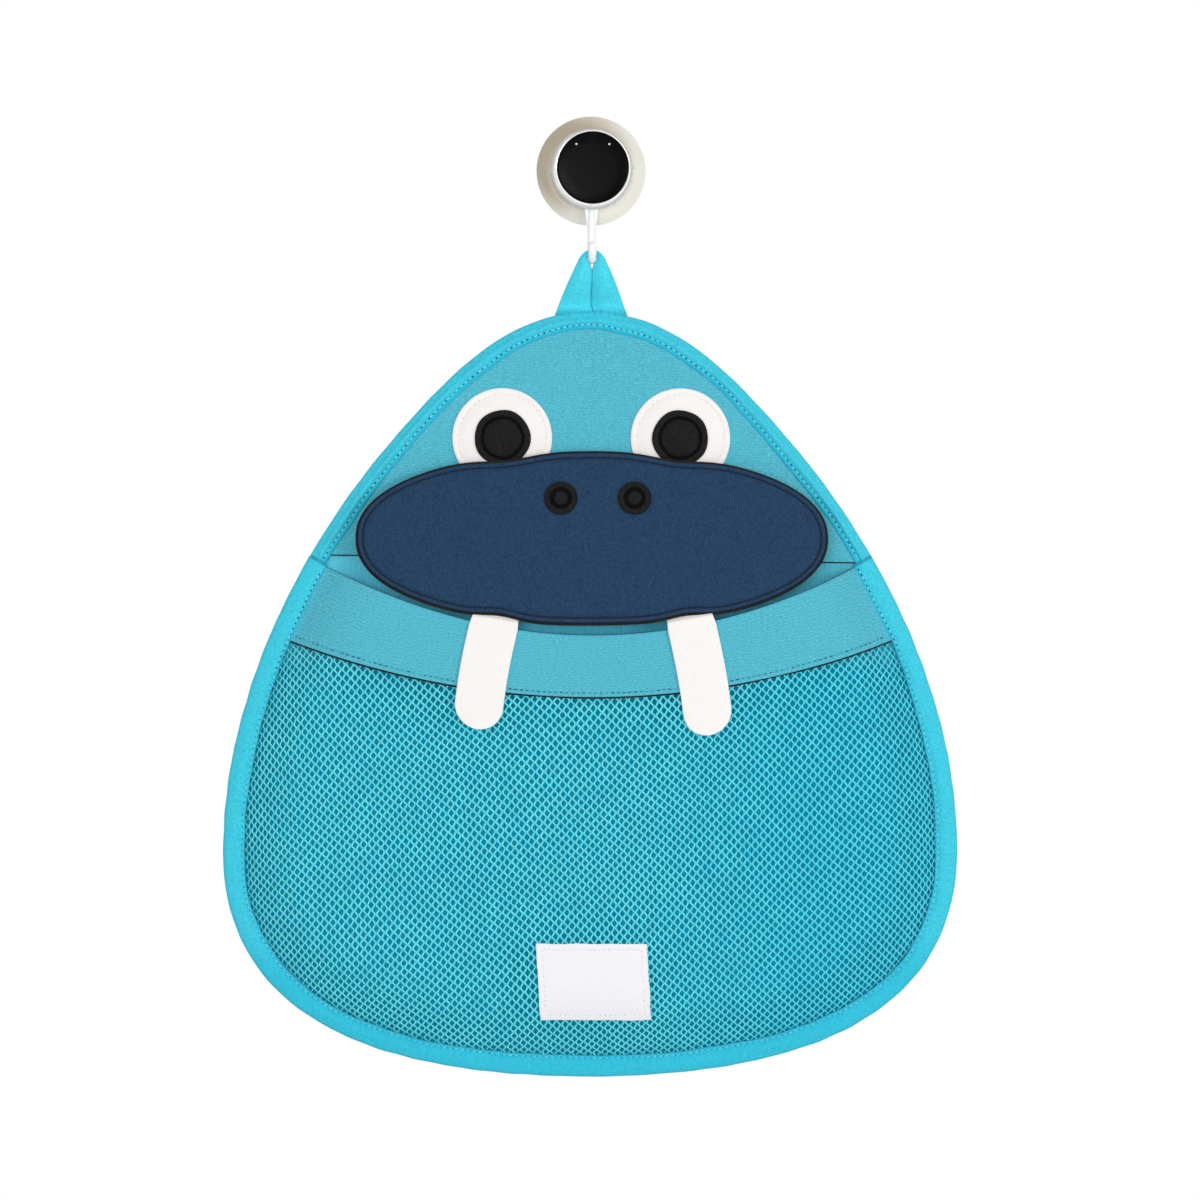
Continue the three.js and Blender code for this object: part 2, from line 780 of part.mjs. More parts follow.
function tusks() {
  const share = (tuskSpread / muzzleHalfWidth) ** muzzleRoundness;
  const edgeHeight = (muzzleHeight / 2) * (1 + (1 - share) ** (1 / muzzleRoundness));
  const root = bagTop - muzzleDrop - edgeHeight * Math.cos(muzzleLean) - 2 * gap;
  const rootOut = Math.max(pocketFront + gap, muzzleOut + edgeHeight * Math.sin(muzzleLean));
  return [["left", -1], ["right", 1]].map(([side, sign]) => {
    const geometry = plate(tuskOutline(), 0, tuskThickness);
    const tusk = named(`tusk_${side}`, geometry, colour(0xfaf6f5, 0.8));
    tusk.position.set(sign * tuskSpread, root, rootOut);
    tusk.rotation.z = sign * tuskSplay * degrees;
    return tusk;
  });
}

function label() {
  const rows = Array.from({ length: labelRows + 1 }, (_, r) => {
    const y = bagTop - bagHeight + labelRise + labelHeight * (r / labelRows);
    return Array.from({ length: labelColumns + 1 }, (_, c) => {
      return new THREE.Vector2(labelWidth * (c / labelColumns - 0.5), y);
    });
  });
  const netFront = (p) => frontOut + bulgeAt(p) + netThickness + gap;
  return named("label", thickened(gridPatch(rows), netFront, labelThickness), colour(0xf4eff4, 0.6));
}

const suctionHook = new THREE.Group();
suctionHook.add(suctionCup(), drawStud(), hookBase(), thrustWasher());
suctionHook.add(threadNut(), knobSkirt(), bezelRing(), knobCap());

const bag = new THREE.Group();
bag.add(hangingLoop(), backPanel(), facePanel(), pocketBand(), pocketNet(), ...bindings());
bag.add(...eyes(), muzzle(), ...tusks(), label());

const organizer = new THREE.Group();
organizer.add(suctionHook, bag);
organizer.rotation.x = Math.PI / 2;

export default organizer;
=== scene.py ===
import functools
import json
import math

import bmesh
import bpy
import numpy as np
from bpy.props import FloatProperty, FloatVectorProperty, IntProperty, PointerProperty
from bpy.types import Operator, Panel, PropertyGroup
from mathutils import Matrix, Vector


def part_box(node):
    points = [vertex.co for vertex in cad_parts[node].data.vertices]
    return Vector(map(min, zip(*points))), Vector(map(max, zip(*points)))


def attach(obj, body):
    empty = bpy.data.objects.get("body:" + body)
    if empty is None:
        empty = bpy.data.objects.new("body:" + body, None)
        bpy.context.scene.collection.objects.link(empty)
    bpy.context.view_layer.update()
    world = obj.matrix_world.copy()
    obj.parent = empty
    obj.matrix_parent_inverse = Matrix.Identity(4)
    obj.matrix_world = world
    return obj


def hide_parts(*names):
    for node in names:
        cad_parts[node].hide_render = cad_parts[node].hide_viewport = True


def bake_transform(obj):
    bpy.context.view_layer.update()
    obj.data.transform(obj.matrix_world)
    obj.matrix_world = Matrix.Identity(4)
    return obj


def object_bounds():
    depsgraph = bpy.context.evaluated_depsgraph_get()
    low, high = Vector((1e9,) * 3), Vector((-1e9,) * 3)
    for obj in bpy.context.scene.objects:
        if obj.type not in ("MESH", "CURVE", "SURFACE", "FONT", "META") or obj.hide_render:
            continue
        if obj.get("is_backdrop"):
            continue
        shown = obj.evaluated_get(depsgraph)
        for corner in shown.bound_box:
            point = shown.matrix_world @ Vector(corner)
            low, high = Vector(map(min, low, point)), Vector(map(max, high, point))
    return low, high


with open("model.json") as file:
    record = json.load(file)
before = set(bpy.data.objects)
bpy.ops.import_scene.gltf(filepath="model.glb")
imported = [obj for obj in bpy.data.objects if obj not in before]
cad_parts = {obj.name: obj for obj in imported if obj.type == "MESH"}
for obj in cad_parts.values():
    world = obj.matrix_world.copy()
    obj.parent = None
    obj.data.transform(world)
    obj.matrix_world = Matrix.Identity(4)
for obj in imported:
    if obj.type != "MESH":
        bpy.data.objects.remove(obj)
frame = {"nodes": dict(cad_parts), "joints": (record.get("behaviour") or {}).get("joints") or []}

bl_info = {
    "name": "Bath Toy Organizer",
    "version": (1, 0, 0),
    "blender": (4, 5, 0),
    "location": "View3D > Sidebar > Organizer",
    "description": "Models a net-pocket bath toy bag and its suction hook around their packed frame",
    "category": "Object",
}

CAD_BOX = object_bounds()
TURN = 2 * math.pi
AXIS_RADIUS = 0.0004  # a turned face closes with a cap of this size
FACING_OUT = (TURN / 4, 0, 0)  # turns a level circle towards the front
SHARP_EDGE = math.radians(40)  # edges past this angle are bevelled
PANEL_INSET = 0.0031  # the panels stop this far inside the bag's edge, under the tape
PANEL_END = 0.0045  # the same at the top and at the foot
GROOVE_LOOPS = (7, 8, 9)  # loops of a sewn disc that lie in its groove


# Settings

def linear(red, green, blue):
    """A colour in 8-bit screen values as linear values."""
    shares = np.array([red, green, blue]) / 255
    return tuple(np.where(shares <= 0.04045, shares / 12.92, ((shares + 0.055) / 1.055) ** 2.4))


def length(name, default, description):
    return FloatProperty(name=name, description=description, default=default, unit="LENGTH", precision=5)


def angle(name, degrees, description):
    return FloatProperty(name=name, description=description, default=math.radians(degrees), subtype="ANGLE")


def colour(name, default, description):
    return FloatVectorProperty(
        name=name, description=description, default=linear(*default), subtype="COLOR", min=0, max=1
    )


class HookSettings(PropertyGroup):
    """Sizes and colours of the suction hook."""
    seal_width: length("Seal width", 0.006, "Flat ring of the cup that seals on the wall")
    vacuum_height: length("Vacuum height", 0.0025, "How far the locked hook lifts the cup's middle")
    shoulder_height: length("Shoulder height", 0.0045, "Height of the ring that the base presses on")
    boss_radius: length("Boss radius", 0.0108, "Radius of the boss round the stud's flange")
    flange_radius: length("Flange pocket", 0.0083, "Radius of the pocket for the stud's flange")
    bore: length("Bore", 0.0038, "Radius of the bores round the stud")
    base_wall: length("Base wall", 0.003, "Wall of the white bell")
    plate_front: length("Plate front", 0.0112, "Front of the bell's plate, out from the wall")
    plate_thickness: length("Plate thickness", 0.0022, "Thickness of the bell's plate")
    rod_radius: length("Rod radius", 0.00225, "Radius of the hook's rod")
    bend_radius: length("Bend radius", 0.006, "Radius of the hook's J along the middle of the rod")
    stem_out: length("Stem", 0.008, "The stem's middle, out from the wall")
    tip_rise: length("Tip rise", 0.0095, "The tip's end above the middle of the seat")
    flange_width: length("Root width", 0.0084, "Width of the flat flange at the hook's root")
    flange_drop: length("Root length", 0.0115, "How far that flange runs down the stem")
    lug_rise: length("Lug rise", 0.0006, "How far the grip lugs stand out of the skirt")
    lug_turn: angle("Lug turn", 4, "Turn of the first lug")
    lug_count: IntProperty(name="Lugs", description="Grip lugs round the skirt", default=6, min=1)
    edge_break: length("Edge break", 0.00025, "Bevel on the moulded edges")
    cup_colour: colour("Cup", (254, 247, 235), "Smoky clear vinyl")
    # painted shade: the cup is darker towards its upper left, in place of the knob's shadow
    cup_shade_colour: colour("Cup, thick", (190, 175, 150), "The same vinyl where it is thick")
    plastic_colour: colour("Hook", (255, 255, 255), "White plastic")
    skirt_colour: colour("Skirt", (238, 240, 236), "Clear plastic")
    bezel_colour: colour("Bezel", (246, 246, 245), "Bright metal")
    cap_colour: colour("Cap", (5, 5, 5), "Black plastic")
    mark_colour: colour("Marks", (214, 214, 212), "Printed dots")


class BagSettings(PropertyGroup):
    """Outline, seams and colours of the bag. Drops are measured down from the middle of its top edge."""
    top: length("Top", -0.0775, "Height of the top edge's middle")
    height: length("Height", 0.4205, "Height of the bag")
    half_width: length("Half width", 0.202, "Half of the bag's greatest width")
    widest_drop: length("Widest drop", 0.297, "Where the bag is widest")
    shoulder_reach: length("Shoulder reach", 0.1154, "From the middle line to the shoulder")
    shoulder_drop: length("Shoulder drop", 0.078, "Where the shoulder is")
    shoulder_slope: angle("Shoulder slope", 50.4, "Slope of the shoulder")
    top_reach: length("Top reach", 0.044, "How far the top runs level")
    shoulder_run: length("Shoulder run", 0.061, "How far the shoulder runs straight")
    side_run_up: length("Side run up", 0.0917, "How far the side runs straight above its widest place")
    side_run_down: length("Side run down", 0.1048, "How far it runs straight below it")
    bottom_reach: length("Bottom reach", 0.0885, "How far the bottom runs level")
    binding_width: length("Binding width", 0.0118, "Width of the lower folded tape on each face")
    top_width: length("Top width", 0.0100, "Width of the upper folded tape on each face")
    tape_thickness: length("Tape thickness", 0.0008, "Thickness of the tape")
    join_drop: length("Join drop", 0.1342, "Where the two lengths of tape meet")
    face_drop: length("Face drop", 0.1355, "Cut edge of the face panel")
    band_side_drop: length("Band side drop", 0.1365, "Upper edge of the band at its sides")
    band_middle_drop: length("Band middle drop", 0.1775, "Upper edge of the band at its middle")
    band_side_height: length("Band side height", 0.042, "Height of the band at its sides")
    band_middle_height: length("Band middle height", 0.035, "Height of the band at its middle")
    pocket_depth: length("Pocket depth", 0.018, "How far the pocket stands out")
    pocket_ramp: length("Pocket ramp", 0.038, "Width over which its edge rises")
    stitch_pitch: length("Stitch pitch", 0.0033, "From one stitch to the next")
    binding_colour: colour("Binding", (64, 208, 231), "Folded tape")
    flange_colour: colour("Binding edge", (18, 184, 216), "Folded tape, inside its stitches")
    loop_colour: colour("Loop", (76, 224, 252), "Strap")
    cloth_colour: colour("Cloth", (86, 188, 208), "Face panel and band")
    # partly the knit's own colour, partly painted shade: darker inside the pocket than above its mouth
    shaded_back_colour: colour("Back", (6, 168, 200), "Ribbed back panel inside the pocket")
    seam_shade: colour("Back at the seam", (4, 128, 158), "Ribbed back panel where the net comes near it")
    # painted light: the back above the pocket's mouth is made lighter, to offset the muzzle's shadow
    painted_light_colour: colour("Back above", (99, 217, 250), "Ribbed back panel above the pocket's mouth")
    edge_colour: colour("Cut edges", (18, 20, 22), "Foam that shows at the cut edges")
    thread_colour: colour("Thread", (152, 228, 242), "Stitches of the binding")
    seam_colour: colour("Band thread", (30, 112, 132), "Stitches of the band")
    # painted shade: in the needle holes, at the strap's foot and crease, and where the two tapes meet
    painted_shade_colour: colour("Needle holes", (8, 96, 120), "Shade in the needle holes")


class NetSettings(PropertyGroup):
    """The knitted net of the pocket."""
    pitch_across: length("Pitch across", 0.00472, "From one opening to the next along a row")
    pitch_up: length("Pitch up", 0.00496, "From one row to the next but one")
    hole_width: length("Opening width", 0.0026, "Width of an opening")
    hole_height: length("Opening height", 0.0038, "Height of an opening")
    thickness: length("Thickness", 0.0009, "Thickness of the knitted strands")
    turn: angle("Turn", 6.2, "Turn of the rows against level")
    lean: angle("Lean", 3.4, "Lean of the columns")
    overlap: length("Overlap", 0.007, "How far the net runs up behind the band")
    colour: colour("Net", (122, 244, 255), "Knitted strands")
    # painted shade: where the strands cross, and over the net's right side
    net_shade_colour: colour("Knots", (76, 222, 250), "Where the strands meet")


class FaceSettings(PropertyGroup):
    """Applique pieces of the face."""
    muzzle_height: length("Muzzle height", 0.097, "Height of the muzzle along its slope")
    muzzle_roundness: FloatProperty(
        name="Muzzle roundness", description="Exponent of the muzzle's outline", default=2.2, min=1.5, max=4
    )
    muzzle_rim: length("Muzzle rim", 0.0015, "Black backing that shows round the muzzle")
    muzzle_seam: length("Muzzle seam", 0.0040, "Sewn groove, in from the muzzle's edge")
    muzzle_dip: length("Muzzle dip", 0.0028, "How far the upper edge dips below each eye")
    muzzle_tuck: length("Muzzle tuck", 0.0026, "How far the lower edge rises over each tusk")
    muzzle_swell: length("Muzzle swell", 0.0016, "How far the muzzle's field swells")
    eye_seam: length("Eye seam", 0.0033, "Stitches, in from the eye's edge")
    pupil_seam: length("Pupil seam", 0.0042, "Sewn groove, in from the pupil's edge")
    nostril_aside: length("Nostrils aside", 0.0030, "How far both nostrils are sewn to the right")
    nostril_drop: length("Nostrils down", 0.0017, "How far both nostrils are sewn lower")
    tusk_splay: angle("Tusk splay", 8, "Lean of the tusks")
    label_seam: length("Label seam", 0.0030, "Stitches, in from the label's edge")
    white_colour: colour("White cloth", (255, 248, 245), "Eyes and tusks")
    black_colour: colour("Black cloth", (31, 31, 32), "Pupils and nostrils")
    navy_colour: colour("Navy cloth", (31, 62, 93), "Muzzle")
    rim_colour: colour("Rim", (24, 20, 20), "Muzzle's black edge")
    label_colour: colour("Label", (250, 247, 250), "Woven label")


class StageSettings(PropertyGroup):
    """Camera, floor and lights."""
    camera_distance: length("Camera distance", 3.0, "From the camera to the wall")
    camera_aside: length("Camera aside", 0.13, "How far the camera stands to the left of what it looks at")
    view_width: length("View width", 0.66, "Width that the camera sees at the wall")
    view_across: length("View across", 0.0050, "Middle of the view, across")
    view_height: length("View height", -0.236, "Middle of the view, up")
    floor_height: length("Floor height", -0.62, "Height of the floor")
    key_power: FloatProperty(name="Key", description="Power of the key light", default=20, unit="POWER")
    fill_power: FloatProperty(name="Fill", description="Power of the fill light", default=52, unit="POWER")
    world_strength: FloatProperty(name="World", description="Strength of the surroundings", default=0.52)


# Materials

class Value:
    """A socket of a material. Python's operators on it add Math nodes."""

    def __init__(self, finish, socket):
        self.finish = finish
        self.socket = socket

    def math(self, operation, *others):
        return self.finish.node("Math", {"operation": operation}, dict(enumerate((self, *others))))

    def __add__(self, other):
        return self.math("ADD", other)

    def __mul__(self, other):
        return self.math("MULTIPLY", other)

    def __sub__(self, other):
        return self.math("SUBTRACT", other)

    def __rsub__(self, other):
        return self * -1 + other

    def sin(self):
        return self.math("SINE")

    def clamped(self, low, high):
        return self.math("MAXIMUM", low).math("MINIMUM", high)

    def ramp(self, start, width, most=1):
        """How far the value is past a start, as a share of a width. A width below zero turns it round."""
        return ((self - start) * (1 / width)).clamped(0, most)


class Finish:
    """A material with a Principled shader, and the nodes that feed it."""

    def __init__(self, name, constants):
        self.material = bpy.data.materials.new(name)
        self.material.use_nodes = True
        self.tree = self.material.node_tree
        self.shader = self.tree.nodes["Principled BSDF"]
        self.feed(self.shader, constants)

    def feed(self, node, sockets):
        for socket, value in sockets.items():
            if isinstance(value, Value):
                self.tree.links.new(value.socket, node.inputs[socket])
            else:
                node.inputs[socket].default_value = value

    def node(self, kind, settings, sockets, output=0):
        made = self.tree.nodes.new("ShaderNode" + kind)
        for name, value in settings.items():
            setattr(made, name, value)
        self.feed(made, sockets)
        return Value(self, made.outputs[output])

    def place(self, stretch=(1, 1, 1), cloth=False):
        """Object coordinates, or the cloth's own, stretched."""
        if cloth:
            start = self.node("Attribute", {"attribute_name": "cloth"}, {}, "Vector")
        else:
            start = self.node("TexCoord", {}, {}, "Object")
        return self.node("Mapping", {}, {"Vector": start, "Scale": stretch})

    def noise(self, scale, stretch=(1, 1, 1), cloth=False, detail=2.0):
        sockets = {"Vector": self.place(stretch, cloth), "Scale": scale, "Detail": detail}
        return self.node("TexNoise", {}, sockets)

    def along(self, axis, cloth=False):
        return self.node("SeparateXYZ", {}, {"Vector": self.place(cloth=cloth)}, axis)

    def waves(self, axis, pitch, wander, cloth=False):
        """Waves along an axis, set off by a wandering value."""
        return (self.along(axis, cloth) * (TURN / pitch) + wander).sin()

    def tone(self, base, spread, share):
        """A colour that goes from darker to lighter with the share."""
        dark = (*(channel * (1 - spread) for channel in base), 1)
        light = (*(min(1, channel * (1 + spread)) for channel in base), 1)
        return self.node("Mix", {"data_type": "RGBA"}, {0: share, 6: dark, 7: light}, 2)

    def mix_in(self, base, spread, share, factor):
        """Lays a second colour over the first."""
        socket = self.shader.inputs["Base Color"]
        first = Value(self, socket.links[0].from_socket)
        second = self.tone(base, spread, share)
        mixed = self.node("Mix", {"data_type": "RGBA"}, {0: factor, 6: first, 7: second}, 2)
        self.feed(self.shader, {"Base Color": mixed})

    def bump(self, height, distance):
        normal = self.node("Bump", {}, {"Height": height, "Distance": distance, "Strength": 1})
        self.feed(self.shader, {"Normal": normal})


def cloth_finish(name, base, grain, relief, spread, roughness=0.88, sheen=0.15, gloss=0.2):
    """Cloth whose grain shows as colour, roughness and relief."""
    finish = Finish(name, {"Sheen Weight": sheen, "Sheen Roughness": 0.5, "Specular IOR Level": gloss})
    height = grain(finish)
    share = ((height - 0.5) * 2.6 + 0.5).clamped(0, 1)
    sockets = {"Base Color": finish.tone(base, spread, share), "Roughness": height * -0.12 + roughness}
    finish.feed(finish.shader, sockets)
    finish.bump(height, relief)
    return finish


def knit_streaks(finish, cloth=False):
    """Fine wavy courses of a flat knit."""
    up = "Y" if cloth else "Z"
    wander = finish.noise(300, (1, 0.6, 0.6), cloth)
    courses = finish.waves(up, 0.0015, wander * 13, cloth)
    streaks = finish.noise(950, (0.62, 2.0, 1) if cloth else (0.62, 1, 2.0), cloth)
    loops = finish.noise(1500, (0.9, 1.2, 1) if cloth else (0.9, 1, 1.2), cloth)
    return courses * 0.06 + streaks * 0.65 + loops * 0.65 - 0.15


def knit_ribs(finish):
    """Upright ribs of the back's knit."""
    ribs = finish.waves("X", 0.0014, finish.noise(60, (1, 1, 0.4)) * 9)
    loops = finish.noise(900, (1, 1, 0.5))
    return ribs * 0.18 + loops * 0.6 + 0.2


def tape_weave(finish):
    """Cross ribs of a woven tape, with fuzz."""
    ribs = finish.waves("X", 0.0012, finish.noise(90, cloth=True) * 6, True)
    fuzz = finish.noise(850, cloth=True)
    tufts = finish.noise(380, (1.1, 0.9, 1), True)
    return ribs * 0.06 + fuzz * 0.55 + tufts * 0.3 + 0.075


def felt_fibres(finish):
    """Short fibres of a soft sheet."""
    fibres = finish.noise(900, (1, 1, 0.7), detail=4.0)
    clouds = finish.noise(90)
    return fibres * 0.7 + clouds * 0.3


def plain_weave(finish):
    """Fine plain weave with slubs."""
    weft = finish.waves("X", 0.0012, finish.noise(200) * 4)
    warp = finish.waves("Z", 0.0012, finish.noise(230) * 4)
    slubs = finish.noise(700, (1, 1, 0.7))
    fibres = finish.noise(1500)
    return weft * warp * 0.26 + slubs * 0.5 + fibres * 0.8 - 0.15


def yarn(finish):
    """Twisted filaments."""
    return finish.noise(1600, (1, 1, 0.4)) * 0.7 + finish.noise(45) * 0.3


def moulded_finish(name, base, roughness, spread=0.03, relief=0.00002, constants=()):
    """Moulded plastic or rubber, faintly uneven."""
    finish = Finish(name, dict(constants))
    flow = finish.noise(120)
    grain = finish.noise(2400)
    sockets = {"Base Color": finish.tone(base, spread, flow), "Roughness": grain * 0.08 + (roughness - 0.04)}
    finish.feed(finish.shader, sockets)
    finish.bump(grain * 0.4 + flow * 0.6, relief)
    return finish


def metal_finish(name, base, roughness, stretch):
    """Metal with fine lines from its working."""
    finish = Finish(name, {"Metallic": 1})
    lines = finish.noise(900, stretch)
    sockets = {"Base Color": finish.tone(base, 0.05, lines), "Roughness": lines * 0.1 + (roughness - 0.05)}
    finish.feed(finish.shader, sockets)
    finish.bump(lines, 0.00001)
    return finish


# The bag's outline and pocket

def layer(node):
    """How far out from the wall a node's back and front are."""
    low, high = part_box(node)
    return -high.y, -low.y


def joint_place(name):
    """Where a joint of the frame is."""
    return next(joint for joint in frame["joints"] if joint["name"] == name)["pos_m"]


def smooth(share):
    """A share between 0 and 1, eased at both ends."""
    share = np.clip(share, 0, 1)
    return share * share * (3 - 2 * share)


def hump(place, middle, width):
    """One at its middle, falling smoothly away over its width."""
    return np.exp(-(((place - middle) / width) ** 2))


def ripple(across, up, wavelength, seed):
    """Smooth unevenness, mostly between -1 and 1, from a few crossing waves."""
    random = np.random.default_rng(seed)
    total = 0
    for _ in range(5):
        heading, phase = random.uniform(0, TURN, 2)
        size = TURN / (wavelength * random.uniform(0.7, 1.5))
        total = total + np.sin(size * (across * math.cos(heading) + up * math.sin(heading)) + phase)
    return total / 2.6


def bezier(handles, steps=60):
    t = np.linspace(0, 1, steps + 1)[:-1, None]
    a, b, c, d = (np.array(handle) for handle in handles)
    return (1 - t) ** 3 * a + 3 * (1 - t) ** 2 * t * b + 3 * (1 - t) * t**2 * c + t**3 * d


class BagEdge:
    """The bag's outer edge, seen from the front: a closed line from the top's middle round by the right."""

    def __init__(self, bag):
        foot = bag.top - bag.height
        side, widest = bag.half_width, bag.top - bag.widest_drop
        shoulder = np.array([bag.shoulder_reach, bag.top - bag.shoulder_drop])
        slope = np.array([math.cos(bag.shoulder_slope), -math.sin(bag.shoulder_slope)]) * bag.shoulder_run
        right = np.concatenate([
            bezier([(0, bag.top), (bag.top_reach, bag.top), shoulder - slope, shoulder]),
            bezier([shoulder, shoulder + slope, (side, widest + bag.side_run_up), (side, widest)]),
            bezier([(side, widest), (side, widest - bag.side_run_down), (bag.bottom_reach, foot), (0, foot)]),
        ])
        left = right[:0:-1] * (-1, 1)
        self.points = np.concatenate([right, [(0, foot)], left])
        self.run = np.roll(self.points, -1, 0) - self.points
        steps = np.hypot(*self.run.T)
        self.travel = np.concatenate([[0], np.cumsum(steps)[:-1]])
        self.perimeter = steps.sum()

    def at(self, travel):
        """Places on the edge and the ways straight in, at distances along it."""
        def point(distance):
            columns = [np.interp(distance, self.travel, c, period=self.perimeter) for c in self.points.T]
            return np.stack(columns, -1)
        tangent = point(travel + 0.003) - point(travel - 0.003)
        tangent /= np.linalg.norm(tangent, axis=-1, keepdims=True)
        return point(travel), np.stack([tangent[..., 1], -tangent[..., 0]], -1)

    def inset(self, places):
        """How far places lie inside the edge, and the ways straight in."""
        depth = np.empty(len(places))
        inward = np.empty((len(places), 2))
        length_squared = (self.run**2).sum(1)
        for chunk in np.array_split(np.arange(len(places)), len(places) // 2000 + 1):
            offset = places[chunk, None] - self.points
            share = np.clip((offset * self.run).sum(2) / length_squared, 0, 1)
            offset -= share[..., None] * self.run
            nearest = (offset**2).sum(2).argmin(1)
            away = offset[np.arange(len(chunk)), nearest]
            run = self.run[nearest]
            inside = np.where(run[:, 0] * away[:, 1] - run[:, 1] * away[:, 0] < 0, 1.0, -1.0)
            distance = np.hypot(*away.T)
            depth[chunk] = inside * distance
            inward[chunk] = away * (inside / np.maximum(distance, 1e-9))[:, None]
        return depth, inward

    def half_width(self, height, inset):
        """Half the width at heights, inside an inset edge."""
        half = len(self.points) // 2 + 1
        place, inward = self.at(self.travel[:half])
        line = place + inward * inset
        return np.interp(height, line[::-1, 1], line[::-1, 0])

    def travel_to(self, height):
        """Distance along the edge to a height on the right side."""
        half = len(self.points) // 2 + 1
        return np.interp(-height, -self.points[:half, 1], self.travel[:half])


@functools.cache
def bag_edge():
    return BagEdge(bpy.context.scene.organizer_bag)


def seam_inset(bag):
    """Where the pocket starts to rise, in from the bag's edge."""
    return bag.binding_width + 0.0003


def bulge(bag, inset):
    """How far the pocket stands out of the front layer."""
    rise = np.clip((inset - seam_inset(bag)) / bag.pocket_ramp, 0, 1)
    return bag.pocket_depth * (1 - (1 - rise) ** 2)


def net_wave(bag, x, z, inset):
    """How the loose net waves over the pocket."""
    return 0.0014 * smooth((inset - seam_inset(bag)) / 0.05) * ripple(x, z, 0.085, 31)


def front_layer(x, z, loose=0.0):
    """How far out the back of the pocket's own layer lies, with the net's waves where it is loose."""
    bag = bpy.context.scene.organizer_bag
    inset = bag_edge().inset(np.stack([x.ravel(), z.ravel()], 1))[0].reshape(x.shape)
    return layer("face_panel")[0] + bulge(bag, inset) + loose * net_wave(bag, x, z, inset)


def band_place(bag, side, share):
    """Places on the band, side from -1 to 1 and share from its upper to its lower edge."""
    side_height = bag.top - bag.band_side_drop - bag.band_side_height * share
    middle_height = bag.top - bag.band_middle_drop - bag.band_middle_height * share
    end = bag_edge().half_width(side_height, 0.003)
    return side * end, middle_height + (side_height - middle_height) * side**2


# Mesh tools

def made(name, points, faces, finishes, second=None, cloth=None):
    """A smooth mesh object whose faces point outwards; second tells which faces take the second finish."""
    mesh = bpy.data.meshes.new(name)
    mesh.from_pydata(np.asarray(points).reshape(-1, 3).tolist(), [], faces)
    for finish in finishes:
        mesh.materials.append(finish.material)
    if second is not None:
        mesh.polygons.foreach_set("material_index", np.asarray(second, np.int32))
    if cloth is not None:
        flat = np.zeros((len(mesh.vertices), 3), np.float32)
        flat[:, :2] = np.asarray(cloth).reshape(-1, 2)
        mesh.attributes.new("cloth", "FLOAT_VECTOR", "POINT").data.foreach_set("vector", flat.ravel())
    work = bmesh.new()
    work.from_mesh(mesh)
    bmesh.ops.recalc_face_normals(work, faces=work.faces)
    work.to_mesh(mesh)
    work.free()
    mesh.shade_smooth()
    piece = bpy.data.objects.new(name, mesh)
    bpy.context.scene.collection.objects.link(piece)
    return piece


def lofted(name, rings, finishes, kinds=0, cloth=None, middle=None):
    """A closed skin over rings of points. kinds tells which finish each column of the section takes.
    The ends are flat, or strips between the points on both sides of the section's middle point."""
    rings = np.asarray(rings)
    count, size = rings.shape[:2]
    column = np.arange(size)
    start = np.arange(count - 1)[:, None] * size
    corners = [start + column, start + (column + 1) % size]
    quads = np.stack([*corners, corners[1] + size, corners[0] + size], -1).reshape(-1, 4)
    end = [column.tolist()]
    if middle is not None:
        half = size // 2
        end = [[middle - k, middle + k, middle + k + 1, middle - k - 1] for k in range(1, half - 1)]
        end += [[middle, middle + 1, middle - 1], [middle + half, middle + half - 1, middle - half + 1]]
    last = (count - 1) * size
    caps = [[start + corner % size for corner in face] for start in (0, last) for face in end]
    second = np.tile(np.broadcast_to(kinds, size), count - 1).tolist() + [0] * len(caps)
    return made(name, rings, quads.tolist() + caps, finishes, second, cloth)


def slab(name, place, back, thickness, rims, finishes, columns=97, rows=24):
    """A sheet of cloth between two cut edges.
    place(side, share) gives its places, and rims are the edges that show."""
    share = np.linspace(0, 1, rows)
    rim_share = np.array([1, 1, 1])
    sections = np.concatenate([share, rim_share, share[::-1], 0 * rim_share])
    lift = np.concatenate([np.ones(rows), [0.72, 0.42, 0.1], np.zeros(rows), [0.1, 0.42, 0.72]])
    shift = np.zeros(len(sections))
    shift[rows - 1], shift[rows] = rims[1], rims[1] * 0.3
    shift[0], shift[-1] = -rims[0], -rims[0] * 0.3
    side = np.linspace(-1, 1, columns)[:, None]
    x, z = place(side, sections[None])
    x, z = np.broadcast_arrays(x, z + shift)
    out = back(x, z) + thickness * lift
    cloth = np.stack([x, np.broadcast_to(sections * np.ptp(z[columns // 2]), x.shape)], -1)
    kinds = np.zeros(len(sections), int)
    kinds[rows - 1:rows + 3] = kinds[2 * rows + 2:] = 1
    kinds[rows + 3:2 * rows + 2] = 2 if len(finishes) > 2 else 0
    return lofted(name, np.stack([x, -out, z], -1), finishes, kinds, cloth, middle=rows + 1)


